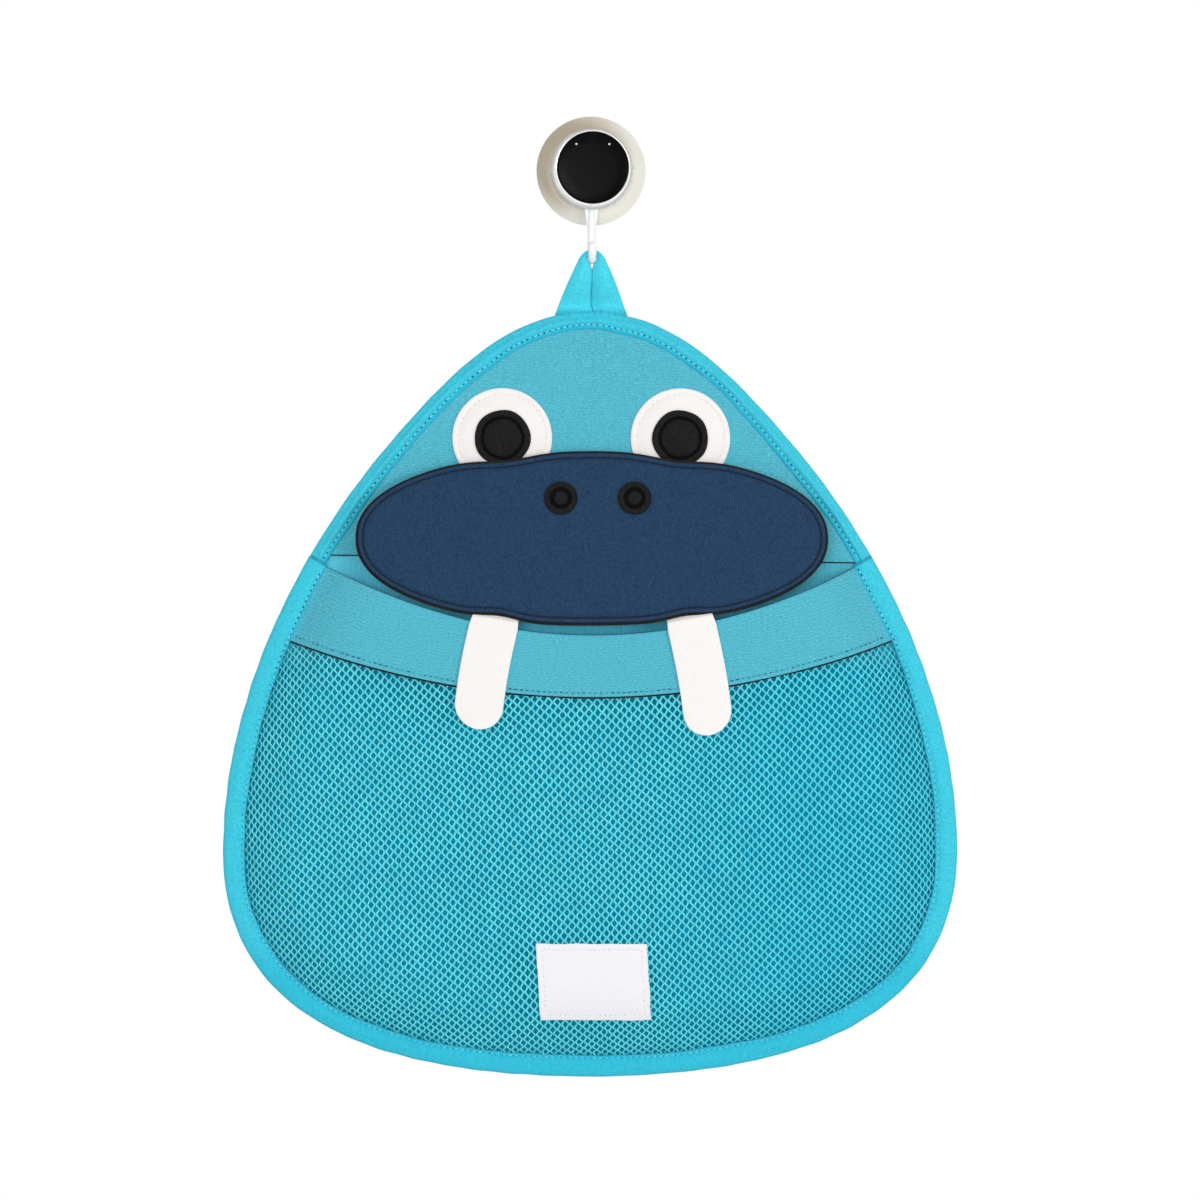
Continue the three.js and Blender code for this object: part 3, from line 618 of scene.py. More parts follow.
def stitches(name, path, normals, pitch, finishes, length=0.0018, radius=0.0003, hole_radius=0.0006):
    """A row of sewn stitches on a line of points: arched threads, and a needle hole between each two, a small
    sunk disc whose dark colour paints the shade in the hole.
    normals are the ways out of the cloth, or one for all points."""
    path, normals = np.asarray(path), np.broadcast_to(normals, np.shape(path))
    travel = np.concatenate([[0], np.cumsum(np.linalg.norm(np.diff(path, axis=0), axis=1))])
    count = int(travel[-1] / pitch)
    def on(line, distance):
        return np.stack([np.interp(distance, travel, column) for column in line.T], -1)
    def frames(distance):
        ahead = on(path, distance + 0.0005) - on(path, distance - 0.0005)
        ahead /= np.linalg.norm(ahead, axis=1, keepdims=True)
        up = on(normals, distance)
        up -= (up * ahead).sum(1, keepdims=True) * ahead
        up /= np.linalg.norm(up, axis=1, keepdims=True)
        return on(path, distance), ahead, np.cross(ahead, up), up
    def placed(template, distance):
        centre, ahead, across, up = (part[:, None] for part in frames(distance))
        return centre + ahead * template[..., 0:1] + across * template[..., 1:2] + up * template[..., 2:3]
    sides = 6
    turn = np.arange(sides) * TURN / sides
    def rings(stations):
        return np.array([[(along, size * math.cos(a), size * math.sin(a) + lift) for a in turn]
                         for along, size, lift in stations])
    half = length / 2
    thread = rings([(-half, radius * 0.4, -radius), (-half * 0.7, radius, 0), (0, radius, radius * 0.5),
                    (half * 0.7, radius, 0), (half, radius * 0.4, -radius)])
    distance = (np.arange(count) + 0.5) * travel[-1] / count
    hole = np.array([[(hole_radius * math.cos(a), hole_radius * math.sin(a), depth) for a in turn]
                     for depth in (-0.0003, 0.00004)])
    points, faces, second = [], [], []
    uneven = np.random.default_rng(count).uniform(0.6, 1.2, (2, count, 1, 1))
    for template, places, kind in ((thread, distance, 0), (hole, distance - travel[-1] / count / 2, 1)):
        flat = template.reshape(-1, 3)
        own = []
        for ring in range(len(template) - 1):
            for i in range(sides):
                a, b = ring * sides + i, ring * sides + (i + 1) % sides
                own.append([a, b, b + sides, a + sides])
        own += [list(range(sides)), list(range(len(flat) - sides, len(flat)))]
        start = sum(len(part) for part in points)
        points.append(placed(flat * uneven[kind], places).reshape(-1, 3))
        for k in range(count):
            faces += [[start + k * len(flat) + corner for corner in face] for face in own]
        second += [kind] * (count * len(own))
    return made(name, np.concatenate(points), faces, finishes, second)


def round_loop(half_width, half_height, roundness=2.0, count=128):
    """A loop of points round a circle, ellipse or superellipse."""
    turn = np.arange(count) * TURN / count
    across, up = np.cos(turn), np.sin(turn)
    power = 2 / roundness
    x = half_width * np.sign(across) * np.abs(across) ** power
    return np.stack([x, half_height * np.sign(up) * np.abs(up) ** power], -1)


def applique(name, outline, profile, place, finishes, edges=()):
    """A soft patch: loops at (inset, height) pairs, from its back's middle round its edge to its front's.
    The loops named by edges take the second finish up to the next loop."""
    rings = []
    for inset, height in profile:
        loop = outline(inset)
        rings.append(place(loop[:, 0], loop[:, 1], np.full(len(loop), height)))
    piece = lofted(name, rings, finishes)
    if edges:
        size = len(rings[0])
        index = np.zeros(len(piece.data.polygons), np.int32)
        for ring in edges:
            index[ring * size:(ring + 1) * size] = 1
        piece.data.polygons.foreach_set("material_index", index)
    return piece


def sewn_disc(radius, inset, seam, count):
    """A loop of a round patch, drawn in and out where it is near the seam, and its points' turns."""
    loop = round_loop(radius - inset, radius - inset)
    turn = np.arctan2(loop[:, 1], loop[:, 0])
    pull = 0.0003 * hump(inset, seam, 0.0008) / (radius - inset)
    return loop * (1 + pull * np.sin(count * turn + 1.3 * np.sin(2 * turn)))[:, None], turn


def upright(centre):
    """Places a flat patch on the front, about a point."""
    def place(x, y, height):
        return np.stack([centre[0] + x, centre[1] - height, centre[2] + y], -1)
    return place


def patch_profile(size, thickness, steps, round_edge=0.0004):
    """A patch's loops: a flat back, a rounded edge, and a front that rises over its thickness by steps."""
    back = [(size * 0.97, 0.0), (size * 0.5, 0.0), (round_edge, 0.0), (0.0, round_edge * 0.7)]
    edge = [(0.0, thickness - round_edge), (round_edge * 0.3, thickness - round_edge * 0.35)]
    return back + edge + [(inset, thickness + rise) for inset, rise in steps]


def settle(piece, body, slot, *nodes):
    """Fixes a piece to its body and hides the nodes that it stands for. The slot is not used."""
    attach(piece, body)
    if nodes:
        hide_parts(*nodes)
    return piece


def area_of(piece):
    """Half of a closed sheet's surface: the area of one of its faces."""
    return sum(face.area for face in piece.data.polygons) / 2


# Turned and moulded pieces

def primitive(kind, place, scale=(1, 1, 1), **settings):
    """A new mesh of Blender's own kinds."""
    bpy.ops.object.select_all(action="DESELECT")
    getattr(bpy.ops.mesh, f"primitive_{kind}_add")(location=place, **settings)
    piece = bpy.context.object
    piece.scale = scale
    bpy.ops.object.transform_apply()
    return piece


def turned(name, profile, sides=96):
    """A turned piece: a ring that is extruded and scaled along its (radius, out) pairs."""
    radius, out = profile[0]
    piece = primitive("circle", (0, -out, 0), vertices=sides, radius=radius, rotation=FACING_OUT)
    piece.name = name
    bpy.ops.object.mode_set(mode="EDIT")
    bpy.ops.mesh.select_all(action="SELECT")
    for radius_after, out_after in profile[1:]:
        bpy.ops.mesh.extrude_edges_move(TRANSFORM_OT_translate={"value": (0, out - out_after, 0)})
        scale = radius_after / radius
        bpy.ops.transform.resize(value=(scale, 1, scale), center_override=(0, 0, 0))
        radius, out = radius_after, out_after
    close_up()
    return piece


def close_up():
    """Closes the edited mesh, turns its faces outwards and leaves edit mode."""
    bpy.ops.mesh.select_all(action="SELECT")
    bpy.ops.mesh.remove_doubles(threshold=1e-6)
    bpy.ops.mesh.fill_holes(sides=0)
    bpy.ops.mesh.normals_make_consistent(inside=False)
    bpy.ops.object.mode_set(mode="OBJECT")


def alone(piece):
    """Makes a piece the active one, and the only one selected."""
    bpy.ops.object.select_all(action="DESELECT")
    piece.select_set(True)
    bpy.context.view_layer.objects.active = piece


def modified(piece, kind, **settings):
    """Adds a modifier to a piece and applies it."""
    alone(piece)
    bpy.ops.object.modifier_add(type=kind)
    modifier = piece.modifiers[-1]
    for name, value in settings.items():
        setattr(modifier, name, value)
    bpy.ops.object.modifier_apply(modifier=modifier.name)


def bevelled(piece, width, segments):
    """Rounds the sharp edges of a piece."""
    modified(piece, "BEVEL", width=width, segments=segments, limit_method="ANGLE", angle_limit=SHARP_EDGE)


def combined(piece, other, operation):
    """Joins another piece to this one, or cuts it away, and removes it."""
    modified(piece, "BOOLEAN", object=other, operation=operation, solver="EXACT")
    bpy.data.objects.remove(other)


def moulded(piece, finish, edge_break=0.0, corner=35):
    """Breaks the sharp edges, smooths the rest and gives the finish."""
    if edge_break:
        bevelled(piece, edge_break, 2)
    alone(piece)
    bpy.ops.object.shade_smooth_by_angle(angle=math.radians(corner))
    piece.data.materials.clear()
    piece.data.materials.append(finish.material)
    return piece


def edit(piece, chosen, kind="FACE"):
    """Opens a piece in edit mode with only the chosen faces or vertices selected."""
    alone(piece)
    bpy.ops.object.mode_set(mode="EDIT")
    bpy.ops.mesh.select_mode(type=kind)
    bpy.ops.mesh.select_all(action="DESELECT")
    bpy.ops.object.mode_set(mode="OBJECT")
    for part in piece.data.polygons if kind == "FACE" else piece.data.vertices:
        part.select = chosen(part)
    bpy.ops.object.mode_set(mode="EDIT")


class ORGANIZER_OT_suction_cup(Operator):
    """Turn the clear cup that seals on the wall"""
    bl_idname = "organizer.suction_cup"
    bl_label = "Suction Cup"

    def execute(self, context):
        hook = context.scene.organizer_hook
        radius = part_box("suction_cup")[1].x
        boss_front = layer("suction_cup")[1]
        flange_back, _ = layer("draw_stud")
        lip = boss_front - 0.0017
        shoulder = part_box("hook_base")[1].x + 0.001
        rim, rim_front = radius - 0.0006, 0.0014
        dome = []
        for share in np.linspace(0, 1, 9)[1:]:
            rise = (hook.shoulder_height - rim_front) * math.sin(share * math.pi / 2)
            dome.append((rim + (shoulder - rim) * share, rim_front + rise))
        profile = [
            (AXIS_RADIUS, hook.vacuum_height),
            (hook.boss_radius, hook.vacuum_height),
            (radius - hook.seal_width, 0),
            (radius - 0.0004, 0),
            (radius, 0.0004),
            (radius, 0.0009),
            (radius - 0.0003, 0.0013),
            (rim, rim_front),
            *dome,
            (hook.boss_radius, hook.shoulder_height),
            (hook.boss_radius, boss_front),
            (hook.bore, boss_front),
            (hook.bore, lip),
            (hook.flange_radius, lip),
            (hook.flange_radius, flange_back - 0.0003),
            (AXIS_RADIUS, flange_back - 0.0003),
        ]
        finish = moulded_finish(
            "cup_vinyl", hook.cup_colour, 0.3, 0.06, 0.00004,
            {"Transmission Weight": 0.12, "IOR": 1.45, "Specular IOR Level": 0.4},
        )
        shift = (0.0095, 0, -0.0055)  # the painted shade's middle is to the upper left, where the knob's shadow falls
        aside = finish.node("VectorMath", {"operation": "ADD"}, {0: finish.place((1, 0, 1)), 1: shift})
        reach = finish.node("VectorMath", {"operation": "LENGTH"}, {0: aside}, "Value")
        shaded = reach.ramp(radius + 0.003, -0.014, 0.9)
        finish.mix_in(hook.cup_shade_colour, 0.05, finish.noise(90), shaded)
        cup = moulded(turned("suction_cup_vinyl", profile), finish)
        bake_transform(cup)
        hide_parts("suction_cup")
        return {"FINISHED"}


class ORGANIZER_OT_hook(Operator):
    """Model the white base with its ribbed stem and J"""
    bl_idname = "organizer.hook"
    bl_label = "Hook"

    def stem(self, hook):
        """A round bar, drawn down from the base, spun into the J and rounded at its tip."""
        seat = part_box("hook_base")[0].z + hook.rod_radius
        bend = seat + hook.bend_radius
        root = -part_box("hook_base")[1].x + hook.base_wall / 2
        def draw_up(rise):
            bpy.ops.mesh.extrude_region_move(TRANSFORM_OT_translate={"value": (0, 0, rise)})
        start = (0, -hook.stem_out, root)
        bar = primitive("circle", start, vertices=32, radius=hook.rod_radius, fill_type="NGON")
        bpy.ops.object.mode_set(mode="EDIT")
        bpy.ops.mesh.select_all(action="SELECT")
        draw_up(bend - root)
        middle = (0, -hook.stem_out - hook.bend_radius, bend)
        bpy.ops.mesh.spin(steps=18, angle=math.pi, center=middle, axis=(1, 0, 0))
        tip = (0, -hook.stem_out - 2 * hook.bend_radius, 0)
        draw_up(hook.tip_rise - hook.bend_radius - hook.rod_radius)
        size, rise = 1.0, 0.0
        for turn in (math.radians(step) for step in (20, 40, 58, 72, 82)):
            draw_up(hook.rod_radius * (math.sin(turn) - rise))
            shrink = math.cos(turn) / size
            bpy.ops.transform.resize(value=(shrink, shrink, 1), center_override=tip)
            size, rise = math.cos(turn), math.sin(turn)
        close_up()
        return bar

    def flange(self, hook):
        """The flat, tapered flange at the root of the stem."""
        top = -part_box("hook_base")[1].x + hook.base_wall / 2
        middle = top - hook.flange_drop / 2
        scale = (hook.flange_width, hook.rod_radius * 0.9, hook.flange_drop)
        plate = primitive("cube", (0, -hook.stem_out, middle), scale, size=1)
        edit(plate, lambda vertex: vertex.co.z < middle, "VERT")
        bpy.ops.transform.resize(value=(0.55, 0.9, 1), center_override=(0, -hook.stem_out, 0))
        bpy.ops.object.mode_set(mode="OBJECT")
        bevelled(plate, 0.0004, 3)
        return plate

    def execute(self, context):
        hook = context.scene.organizer_hook
        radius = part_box("hook_base")[1].x
        rim = layer("hook_base")[0]
        plate_back = hook.plate_front - hook.plate_thickness
        inner = radius - hook.base_wall
        base = turned("hook_white_plastic", [
            (inner, rim), (radius, rim), (radius, hook.plate_front), (hook.bore, hook.plate_front),
            (hook.bore, plate_back), (inner, plate_back), (inner, rim),
        ])
        bevelled(base, 0.0006, 3)
        combined(base, self.stem(hook), "UNION")
        combined(base, self.flange(hook), "UNION")
        finish = moulded_finish(
            "hook_plastic", hook.plastic_colour, 0.32, 0.02, constants={"Specular IOR Level": 0.45}
        )
        settle(moulded(base, finish), "hook", "hook_white", "hook_base")
        return {"FINISHED"}


class ORGANIZER_OT_knob(Operator):
    """Model the knob's clear skirt, bright bezel, black cap and its dots"""
    bl_idname = "organizer.knob"
    bl_label = "Knob"

    def skirt(self, hook):
        back, front = layer("knob_skirt")
        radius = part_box("bezel_ring")[1].x + 0.0013
        nut = 0.0069  # radius of the hole for the nut
        skirt = turned("knob_skirt_clear", [
            (nut, back), (radius - 0.0008, back), (radius, back + 0.0012), (radius, front - 0.0012),
            (radius - 0.0006, front), (nut, front), (nut, back),
        ], sides=120)
        step = TURN / hook.lug_count
        def on_lug(face):
            turn = math.atan2(face.center.z, face.center.x) - hook.lug_turn
            near = abs((turn + step / 2) % step - step / 2) < math.radians(3.1)
            return near and math.hypot(face.center.x, face.center.z) > radius - 0.0001
        edit(skirt, on_lug)
        bpy.ops.mesh.extrude_region_shrink_fatten(TRANSFORM_OT_shrink_fatten={"value": hook.lug_rise})
        close_up()
        finish = moulded_finish(
            "skirt_plastic", hook.skirt_colour, 0.12, 0.02,
            constants={"Transmission Weight": 0.35, "IOR": 1.47},
        )
        settle(moulded(skirt, finish, hook.edge_break), "knob", "skirt_clear", "knob_skirt")

    def bezel(self, hook):
        back, front = layer("bezel_ring")
        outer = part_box("bezel_ring")[1].x
        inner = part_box("knob_cap")[1].x + 0.0003
        bezel = turned("bezel_bright", [
            (inner, back), (outer, back), (outer, back + 0.0008), (outer - 0.0002, back + 0.0012),
            (outer - 0.0002, front - 0.0016), (outer - 0.0005, front - 0.0006), (outer - 0.0008, front),
            (inner + 0.0001, front - 0.0001), (inner, front - 0.0006), (inner, back),
        ])
        finish = metal_finish("bezel_metal", hook.bezel_colour, 0.22, (1, 6, 1))
        settle(moulded(bezel, finish, corner=25), "knob", "bezel_chrome", "bezel_ring")

    def cap(self, hook):
        back, front = layer("knob_cap")
        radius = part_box("knob_cap")[1].x
        wall, plate = 0.0015, 0.002
        cap = turned("knob_cap_black", [
            (AXIS_RADIUS, front - plate), (radius - wall, front - plate), (radius - wall, back),
            (radius, back), (radius, front - 0.0007), (radius - 0.0003, front - 0.0002),
            (radius - 0.0009, front), (radius * 0.7, front + 0.0002), (radius * 0.35, front + 0.0003),
            (AXIS_RADIUS, front + 0.00033),
        ])
        notch = primitive("cube", (0, -front, radius - 0.0011), (0.0030, 0.0007, 0.0014), size=1)
        bevelled(notch, 0.0002, 2)
        combined(cap, notch, "DIFFERENCE")
        finish = moulded_finish(
            "cap_plastic", hook.cap_colour, 0.28, 0.1, 0.00001, {"Specular IOR Level": 0.05}
        )
        settle(moulded(cap, finish), "knob", "cap_black", "knob_cap")
        return radius, front

    def marks(self, hook, radius, front):
        dots = []
        reach = radius * 0.81
        size = {"vertices": 20, "radius": 0.0006, "depth": 0.0003}
        for turn in (math.radians(125), math.radians(55)):
            place = (reach * math.cos(turn), -front - 0.00012, reach * math.sin(turn))
            dots.append(primitive("cylinder", place, rotation=FACING_OUT, **size))
            bevelled(dots[-1], 0.00008, 2)
        first, second = dots
        alone(first)
        second.select_set(True)
        bpy.ops.object.join()
        first.name = "knob_dots"
        finish = moulded_finish("dot_print", hook.mark_colour, 0.5)
        settle(moulded(first, finish), "knob", "hook_white")

    def execute(self, context):
        hook = context.scene.organizer_hook
        self.skirt(hook)
        self.bezel(hook)
        self.marks(hook, *self.cap(hook))
        return {"FINISHED"}


class ORGANIZER_OT_fixings(Operator):
    """Give the stud, the washer and the nut inside the knob their finishes"""
    bl_idname = "organizer.fixings"
    bl_label = "Fixings"

    def execute(self, context):
        finishes = {
            "draw_stud": metal_finish("stud_steel_lines", linear(185, 188, 192), 0.3, (1, 8, 1)),
            "thread_nut": metal_finish("nut_brass_lines", linear(190, 150, 72), 0.35, (1, 8, 1)),
            "thrust_washer": moulded_finish("washer_nylon_grain", linear(230, 228, 220), 0.5),
        }
        for node, finish in finishes.items():
            materials = frame["nodes"][node].data.materials
            materials.clear()
            materials.append(finish.material)
        return {"FINISHED"}


class ORGANIZER_OT_hanging_loop(Operator):
    """Loft the strap that is drawn together over the hook"""
    bl_idname = "organizer.hanging_loop"
    bl_label = "Hanging Loop"

    leg_rings = 36
    arch_rings = 12

    def stations(self, sign):
        """Sections of one leg, from the bag up and over the hook: middle, turn and half sizes."""
        low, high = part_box("hanging_loop")
        joint = joint_place("loop_sway")
        seat_out, seat = -joint[1], joint[2]
        bag_out = layer("top_binding")[0] + 0.0017
        eye = 0.0026  # half of the gap that the hook's rod goes through
        parted = 0.79  # above this share the legs part
        found = []
        for share in np.linspace(0, 1, self.leg_rings)[:-1]:
            gap = float(np.interp(share, (parted, 0.87, 0.92, 1.0), (-0.0003, 0.0004, 0.0009, eye)))
            wander = 0.0010 * hump(share, 0.08, 0.14) - 0.0004 * hump(share, 0.36, 0.15)
            inner = sign * wander * (share < parted) + gap
            outer = high.x + (eye + 0.0048 - high.x) * share + 0.0006 * math.sin(share * math.pi)
            found.append((
                sign * (inner + outer) / 2,
                low.z - 0.004 + (seat - low.z + 0.004) * share,
                bag_out + (seat_out - bag_out) * float(smooth((share - 0.15) / 0.7)),
                0.0,
                (outer - inner) / 2,
                0.0010 + 0.0011 * float(smooth((share - 0.15) / 0.3)),
                share,
            ))
        for share in np.linspace(0, 1, self.arch_rings):
            half_width = (0.0030 + 0.0018 * (1 - share) ** 3) / 2
            radius = eye + half_width
            turn = share * math.pi / 2
            found.append((
                sign * radius * math.cos(turn), seat + radius * math.sin(turn), seat_out,
                turn, half_width, 0.0021, 1 + share,
            ))
        return found

    def ring(self, station, sign):
        """One section of the strap: crowned in front, with rolled edges, and folds near the hook."""
        x, z, out, turn, half_width, half_depth, share = station
        loop = round_loop(1, 1, 2.8, 40)
        across, depth = loop[:, 0], loop[:, 1]
        gathered = smooth((share - 0.45) / 0.5) * (1 - 0.4 * smooth(share - 1))
        folds = 0.00045 * gathered * np.cos(across * 7 + 0.8 * sign) * (depth > 0)
        tuck = 0.0028 * hump(share, 0.12, 0.4) * smooth((-across - 0.2) / 0.8) * (sign > 0)
        tuck = np.minimum(tuck, 1.8 * half_depth * np.maximum(depth, 0))
        crown = 0.0026 * (1 - across**2) * (1 - smooth(share - 0.6)) * smooth((share - 0.22) / 0.25)
        lift = depth * half_depth + np.where(depth > 0, folds - tuck + crown, 0)
        reach = across * half_width
        return np.stack([
            x + sign * reach * math.cos(turn), -(out + lift), z + reach * math.sin(turn)
        ], -1)

    def execute(self, context):
        bag = context.scene.organizer_bag
        right, left = ([self.ring(station, sign) for station in self.stations(sign)] for sign in (1, -1))
        rings = np.array(right + left[-2::-1])
        travel = np.cumsum(np.r_[0, np.linalg.norm(np.diff(rings.mean(1), axis=0), axis=1)])
        girth, inner_edge = 0.045, 0.0231  # round a section, and from its outer to its inner edge
        around = np.linspace(0, girth, rings.shape[1])
        cloth = np.stack(np.broadcast_arrays(travel[:, None], around), -1)
        finish = cloth_finish("strap_cloth", bag.loop_colour, tape_weave, 0.0005, 0.18)
        # painted shade: the strap is darker at its foot, where it goes behind the binding, and along its
        # inner edges, in the crease between its legs
        way = finish.along("X", True)
        foot = way.math("MINIMUM", float(travel[-1]) - way).ramp(0.0062, -0.008, 0.4)
        inner = (finish.along("Y", True) - inner_edge).math("ABSOLUTE")
        crease_shade = inner.ramp(0.0045, -0.0045, 0.9)
        finish.mix_in(bag.painted_shade_colour, 0.15, tape_weave(finish), foot.math("MAXIMUM", crease_shade))
        loop = lofted("hanging_strap", rings, [finish], cloth=cloth)
        hinge = joint_place("bag_tilt")
        hinge[2] + 0.006
        hinge[2] - 0.001
        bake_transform(loop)
        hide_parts("hanging_loop")
        return {"FINISHED"}


@functools.cache
def foam_edge():
    bag = bpy.context.scene.organizer_bag
    return cloth_finish("cut_foam", bag.edge_colour, felt_fibres, 0.0001, 0.3)


class ORGANIZER_OT_back_panel(Operator):
    """Make the ribbed back panel"""
    bl_idname = "organizer.back_panel"
    bl_label = "Back Panel"

    def execute(self, context):
        bag = context.scene.organizer_bag
        back, front = layer("back_panel")
        top, foot = bag.top - PANEL_END, bag.top - bag.height + PANEL_END
        def place(side, share):
            height = top + (foot - top) * share
            return side * bag_edge().half_width(height, PANEL_INSET), height + 0 * side
        def depth(x, z):
            below = smooth((bag.top - bag.band_middle_drop - z) / 0.03)
            mouth = smooth((bag.top - bag.face_drop - 0.002 - z) / 0.03) * smooth((z - bag.top + 0.26) / 0.06)
            bow = 0.003 * mouth * smooth(1 - (x / 0.13) ** 2)
            return back + bow + ripple(x, z, 0.12, 5) * (0.0001 + 0.0004 * below)
        # the colour inside the pocket carries painted shade
        finish = cloth_finish("back_knit_ribs", bag.shaded_back_colour, knit_ribs, 0.0003, 0.18)
        ribs = knit_ribs(finish)
        # painted light above the pocket's mouth; it gives way to the cloth's colour towards the right, which
        # the key light reaches
        above = finish.along("Z").ramp(bag.top - bag.band_middle_drop - 0.02, 0.03)
        finish.mix_in(bag.painted_light_colour, 0.18, ribs, above)
        right = finish.along("X").ramp(0.112, 0.028, 0.9)
        finish.mix_in(bag.cloth_colour, 0.18, ribs, right * above)
        seam = finish.along("Z", True).ramp(0.036, -0.026, 0.45)
        finish.mix_in(bag.seam_shade, 0.18, ribs, seam * (1 - above))
        outside = cloth_finish("back_knit_outside", bag.cloth_colour, knit_ribs, 0.0003, 0.18)
        finishes = [finish, foam_edge(), outside]
        panel = slab("back_panel_knit", place, depth, front - back, (0.0004, 0.0004), finishes, rows=64)
        mesh = panel.data
        places = np.empty(len(mesh.vertices) * 3)
        mesh.vertices.foreach_get("co", places)
        places = places.reshape(-1, 3)
        cloth = np.column_stack([places[:, ::2], bag_edge().inset(places[:, ::2])[0]])
        mesh.attributes["cloth"].data.foreach_set("vector", cloth.astype(np.float32).ravel())
        settle(panel, "bag", "back_knit", "back_panel")
        return {"FINISHED"}


class ORGANIZER_OT_face_panel(Operator):
    """Make the upper front panel with its cut lower edge"""
    bl_idname = "organizer.face_panel"
    bl_label = "Face Panel"

    def execute(self, context):
        bag = context.scene.organizer_bag
        back, front = layer("face_panel")
        top, cut = bag.top - PANEL_END, bag.top - bag.face_drop
        def place(side, share):
            height = top + (cut - top) * share
            slant = share * (0.0008 + 0.0022 * side)
            return side * bag_edge().half_width(height, PANEL_INSET), height - slant
        def depth(x, z):
            return back + 0.0001 * ripple(x, z, 0.09, 8)
        finish = cloth_finish("face_knit", bag.cloth_colour, knit_streaks, 0.0003, 0.24)
        finishes = [finish, foam_edge()]
        panel = slab("face_panel_cloth", place, depth, front - back, (0.0004, 0.0007), finishes, rows=40)
        settle(panel, "bag", "neoprene_turquoise", "face_panel")
        return {"FINISHED"}


class ORGANIZER_OT_pocket_band(Operator):
    """Make the band along the pocket's mouth and its row of stitches"""
    bl_idname = "organizer.pocket_band"
    bl_label = "Pocket Band"

    def execute(self, context):
        bag = context.scene.organizer_bag
        back, front = layer("face_panel")
        thickness = front - back
        place = functools.partial(band_place, bag)
        grain = functools.partial(knit_streaks, cloth=True)
        finish = cloth_finish("band_knit", bag.cloth_colour, grain, 0.0003, 0.24)
        finishes = [finish, foam_edge()]
        band = slab("pocket_band_cloth", place, front_layer, thickness, (0.0003, 0.0010), finishes)
        settle(band, "bag", "neoprene_turquoise", "pocket_band")
        side = np.linspace(-0.965, 0.965, 400)
        seam = 1 - 0.0031 / bag.band_middle_height
        x, z = place(side, np.full_like(side, seam))
        path = np.stack([x, -front_layer(x, z) - thickness, z], -1)
        threads = [
            cloth_finish("band_thread", bag.seam_colour, yarn, 0.00005, 0.2),
            cloth_finish("band_holes", bag.painted_shade_colour, yarn, 0.00005, 0.2),
        ]
        row = stitches("pocket_band_stitches", path, (0, -1, 0), 0.0031, threads, 0.0019, 0.00032, 0.0002)
        settle(row, "bag", "neoprene_turquoise")
        return {"FINISHED"}


